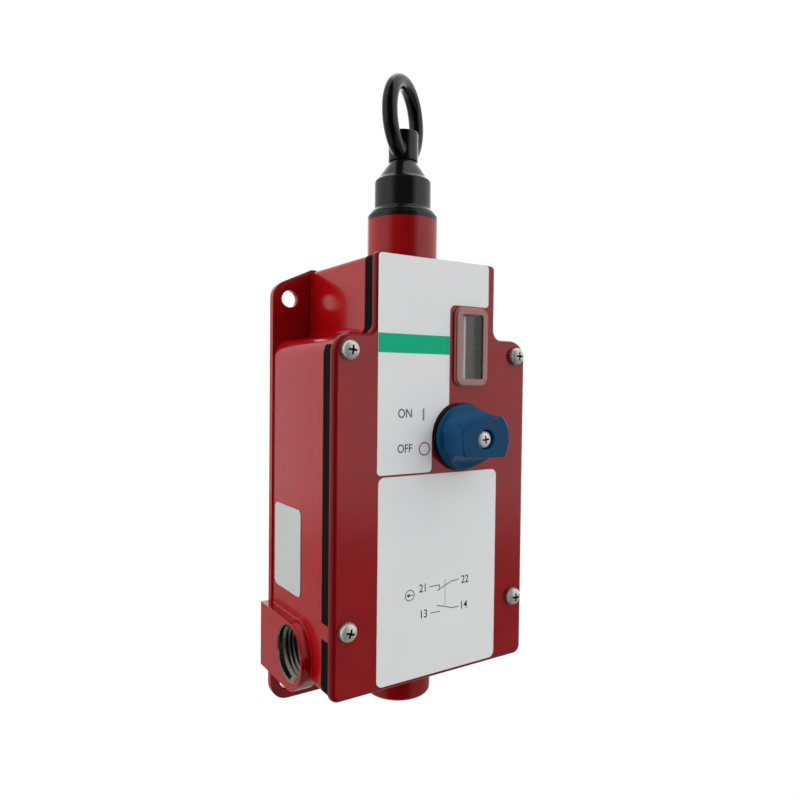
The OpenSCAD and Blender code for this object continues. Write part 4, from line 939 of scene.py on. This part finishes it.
# Studio: a pale floor and a soft white room. Soft light, which falls on everything, comes mostly
# from the left and from the right front. Gloss, which only the shine shows, has a dark room behind
# the camera, a low horizon and a bright right side. What the camera sees directly is plain white.
studioSize = {
    "floor": -88.75, "extent": 4000, "white": 1.02,
    "towards": (-0.4967, -0.8679),  # level direction from the part to the camera
    "softRoom": (0.45, 0.95, 0.2), "glossRoom": (0.56, 0.88, 0.03),  # darkens from, to, down to
    "softSides": (2.42, 1.95), "glossSides": (0.70, 0.95), "sidesReach": (-0.5, 0.4),  # left, right
    "softGround": (0.42, 0.36), "glossGround": (0.5, 0.26), "groundReach": (-0.5, 0.1),  # left, right
    "softHorizon": (-0.12, 0.12), "glossHorizon": (-0.26, -0.15),  # from ground to room
    "rim": (-1.0, -0.75, 2.2),  # behind the part: from, to, how much brighter
}
cameraSize = {"place": (-151.34, -263.87, 46.75), "yaw": 33.0, "pitch": -1.585, "roll": 0.639, "lens": 29.96}


def makeFloor(size):
    shape = bmesh.new()
    bmesh.ops.create_grid(shape, x_segments=1, y_segments=1, size=size["extent"] * mm)
    bmesh.ops.translate(shape, verts=shape.verts, vec=(0, 0, size["floor"] * mm))
    floor = objectFrom(shape, "floor", [])
    material = bpy.data.materials.new("paleFloor")
    material.use_nodes = True
    tree = material.node_tree
    tree.nodes.clear()
    glow = addNode(tree, "ShaderNodeEmission", values={"Color": (1, 1, 1, 1), "Strength": size["white"]})
    addNode(tree, "ShaderNodeOutputMaterial", {"Surface": glow.outputs["Emission"]})
    floor.data.materials.append(material)
    floor.visible_diffuse = floor.visible_glossy = floor.visible_shadow = False
    floor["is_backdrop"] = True


def makeRoom(size):
    world = bpy.data.worlds.new("studio")
    scene.world = world
    world.use_nodes = True
    tree = world.node_tree
    tree.nodes.clear()
    towardsX, towardsY = size["towards"]
    where = addNode(tree, "ShaderNodeTexCoord")
    level = addNode(tree, "ShaderNodeVectorMath", {0: where.outputs["Generated"]}, {1: (1, 1, 0)},
                    operation="MULTIPLY")
    flat = addNode(tree, "ShaderNodeVectorMath", {0: level.outputs[0]}, operation="NORMALIZE")
    ahead = addNode(tree, "ShaderNodeVectorMath", {0: flat.outputs[0]}, {1: (towardsX, towardsY, 0)},
                    operation="DOT_PRODUCT")
    side = addNode(tree, "ShaderNodeVectorMath", {0: flat.outputs[0]}, {1: (-towardsY, towardsX, 0)},
                   operation="DOT_PRODUCT")
    height = addNode(tree, "ShaderNodeSeparateXYZ", {"Vector": where.outputs["Generated"]})
    lights = {}
    for kind in ("soft", "gloss"):
        start, end, least = size[kind + "Room"]
        room = addNode(tree, "ShaderNodeMapRange", {"Value": ahead.outputs["Value"]},
                       {"From Min": start, "From Max": end, "To Min": 1.0, "To Max": least},
                       interpolation_type="SMOOTHSTEP")
        start, end = size["sidesReach"]
        left, right = size[kind + "Sides"]
        sides = addNode(tree, "ShaderNodeMapRange", {"Value": side.outputs["Value"]},
                        {"From Min": start, "From Max": end, "To Min": left, "To Max": right},
                        interpolation_type="SMOOTHSTEP")
        start, end = size["groundReach"]
        left, right = size[kind + "Ground"]
        ground = addNode(tree, "ShaderNodeMapRange", {"Value": side.outputs["Value"]},
                         {"From Min": start, "From Max": end, "To Min": left, "To Max": right})
        start, end = size[kind + "Horizon"]
        under = addNode(tree, "ShaderNodeMapRange",
                        {"Value": height.outputs["Z"], "To Min": ground.outputs["Result"]},
                        {"From Min": start, "From Max": end, "To Max": 1.0}, interpolation_type="SMOOTHSTEP")
        both = addNode(tree, "ShaderNodeMath", {0: sides.outputs["Result"], 1: under.outputs["Result"]},
                       operation="MULTIPLY")
        lights[kind] = addNode(tree, "ShaderNodeMath", {0: both.outputs[0], 1: room.outputs["Result"]},
                               operation="MULTIPLY")
    start, end, most = size["rim"]
    rim = addNode(tree, "ShaderNodeMapRange", {"Value": ahead.outputs["Value"]},
                  {"From Min": start, "From Max": end, "To Min": most, "To Max": 1.0},
                  interpolation_type="SMOOTHSTEP")
    shine = addNode(tree, "ShaderNodeMath", {0: lights["gloss"].outputs[0], 1: rim.outputs["Result"]},
                    operation="MULTIPLY")
    paths = addNode(tree, "ShaderNodeLightPath")
    light = addNode(tree, "ShaderNodeMix",
                    {"Factor": paths.outputs["Is Diffuse Ray"], "A": shine.outputs[0],
                     "B": lights["soft"].outputs[0]})
    seen = addNode(tree, "ShaderNodeMix",
                   {"Factor": paths.outputs["Is Camera Ray"], "A": light.outputs["Result"]},
                   {"B": size["white"]})
    sky = addNode(tree, "ShaderNodeBackground", {"Strength": seen.outputs["Result"]}, {"Color": (1, 1, 1, 1)})
    addNode(tree, "ShaderNodeOutputWorld", {"Surface": sky.outputs["Background"]})
    scene.view_settings.view_transform = "Standard"
    scene.view_settings.look = "None"


def makeCamera(size):
    yaw, pitch, roll = (math.radians(size[k]) for k in ("yaw", "pitch", "roll"))
    ahead = Vector((math.sin(yaw) * math.cos(pitch), math.cos(yaw) * math.cos(pitch), math.sin(pitch)))
    right = ahead.cross(Vector((0, 0, 1))).normalized()
    up = right.cross(ahead)
    right, up = right * math.cos(roll) + up * math.sin(roll), up * math.cos(roll) - right * math.sin(roll)
    turn = Matrix((right, up, -ahead)).transposed().to_4x4()
    camera = bpy.data.cameras.new("camera")
    camera.lens = size["lens"]
    camera.sensor_width = 36
    camera.sensor_fit = "HORIZONTAL"
    camera.clip_start = 0.01
    holder = bpy.data.objects.new("camera", camera)
    holder.matrix_world = Matrix.Translation(Vector(size["place"]) * mm) @ turn
    scene.collection.objects.link(holder)
    scene.camera = holder


for name, values in materialValues.items():
    makeMaterial(name, values)
milkLens(milkSize)
dressFrame()
print("materials made:", len(materials))
makeHousing(housingSize)
makeCover(coverSize)
makeLens(lensSize)
print("casting, cover and lens made")
makeEye(eyeSize)
makeKnob(knobSize)
makePointer(pointerSize)
makeBoot(bootSize)
print("eye, knob and boot made")
coil = coilTree()
makeSpring(coil, springSize)
makeThread(coil, threadSize)
makeFasteners(setTree())
print("spring, thread, screws and washers made")
makePrint(printSize)
print("labels printed")
makeFloor(studioSize)
makeRoom(studioSize)
makeCamera(cameraSize)
print("floor, room and camera made")

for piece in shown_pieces():
    if piece.name not in cadNodes:
        print("  ", piece.name, len(piece.data.polygons), "faces")
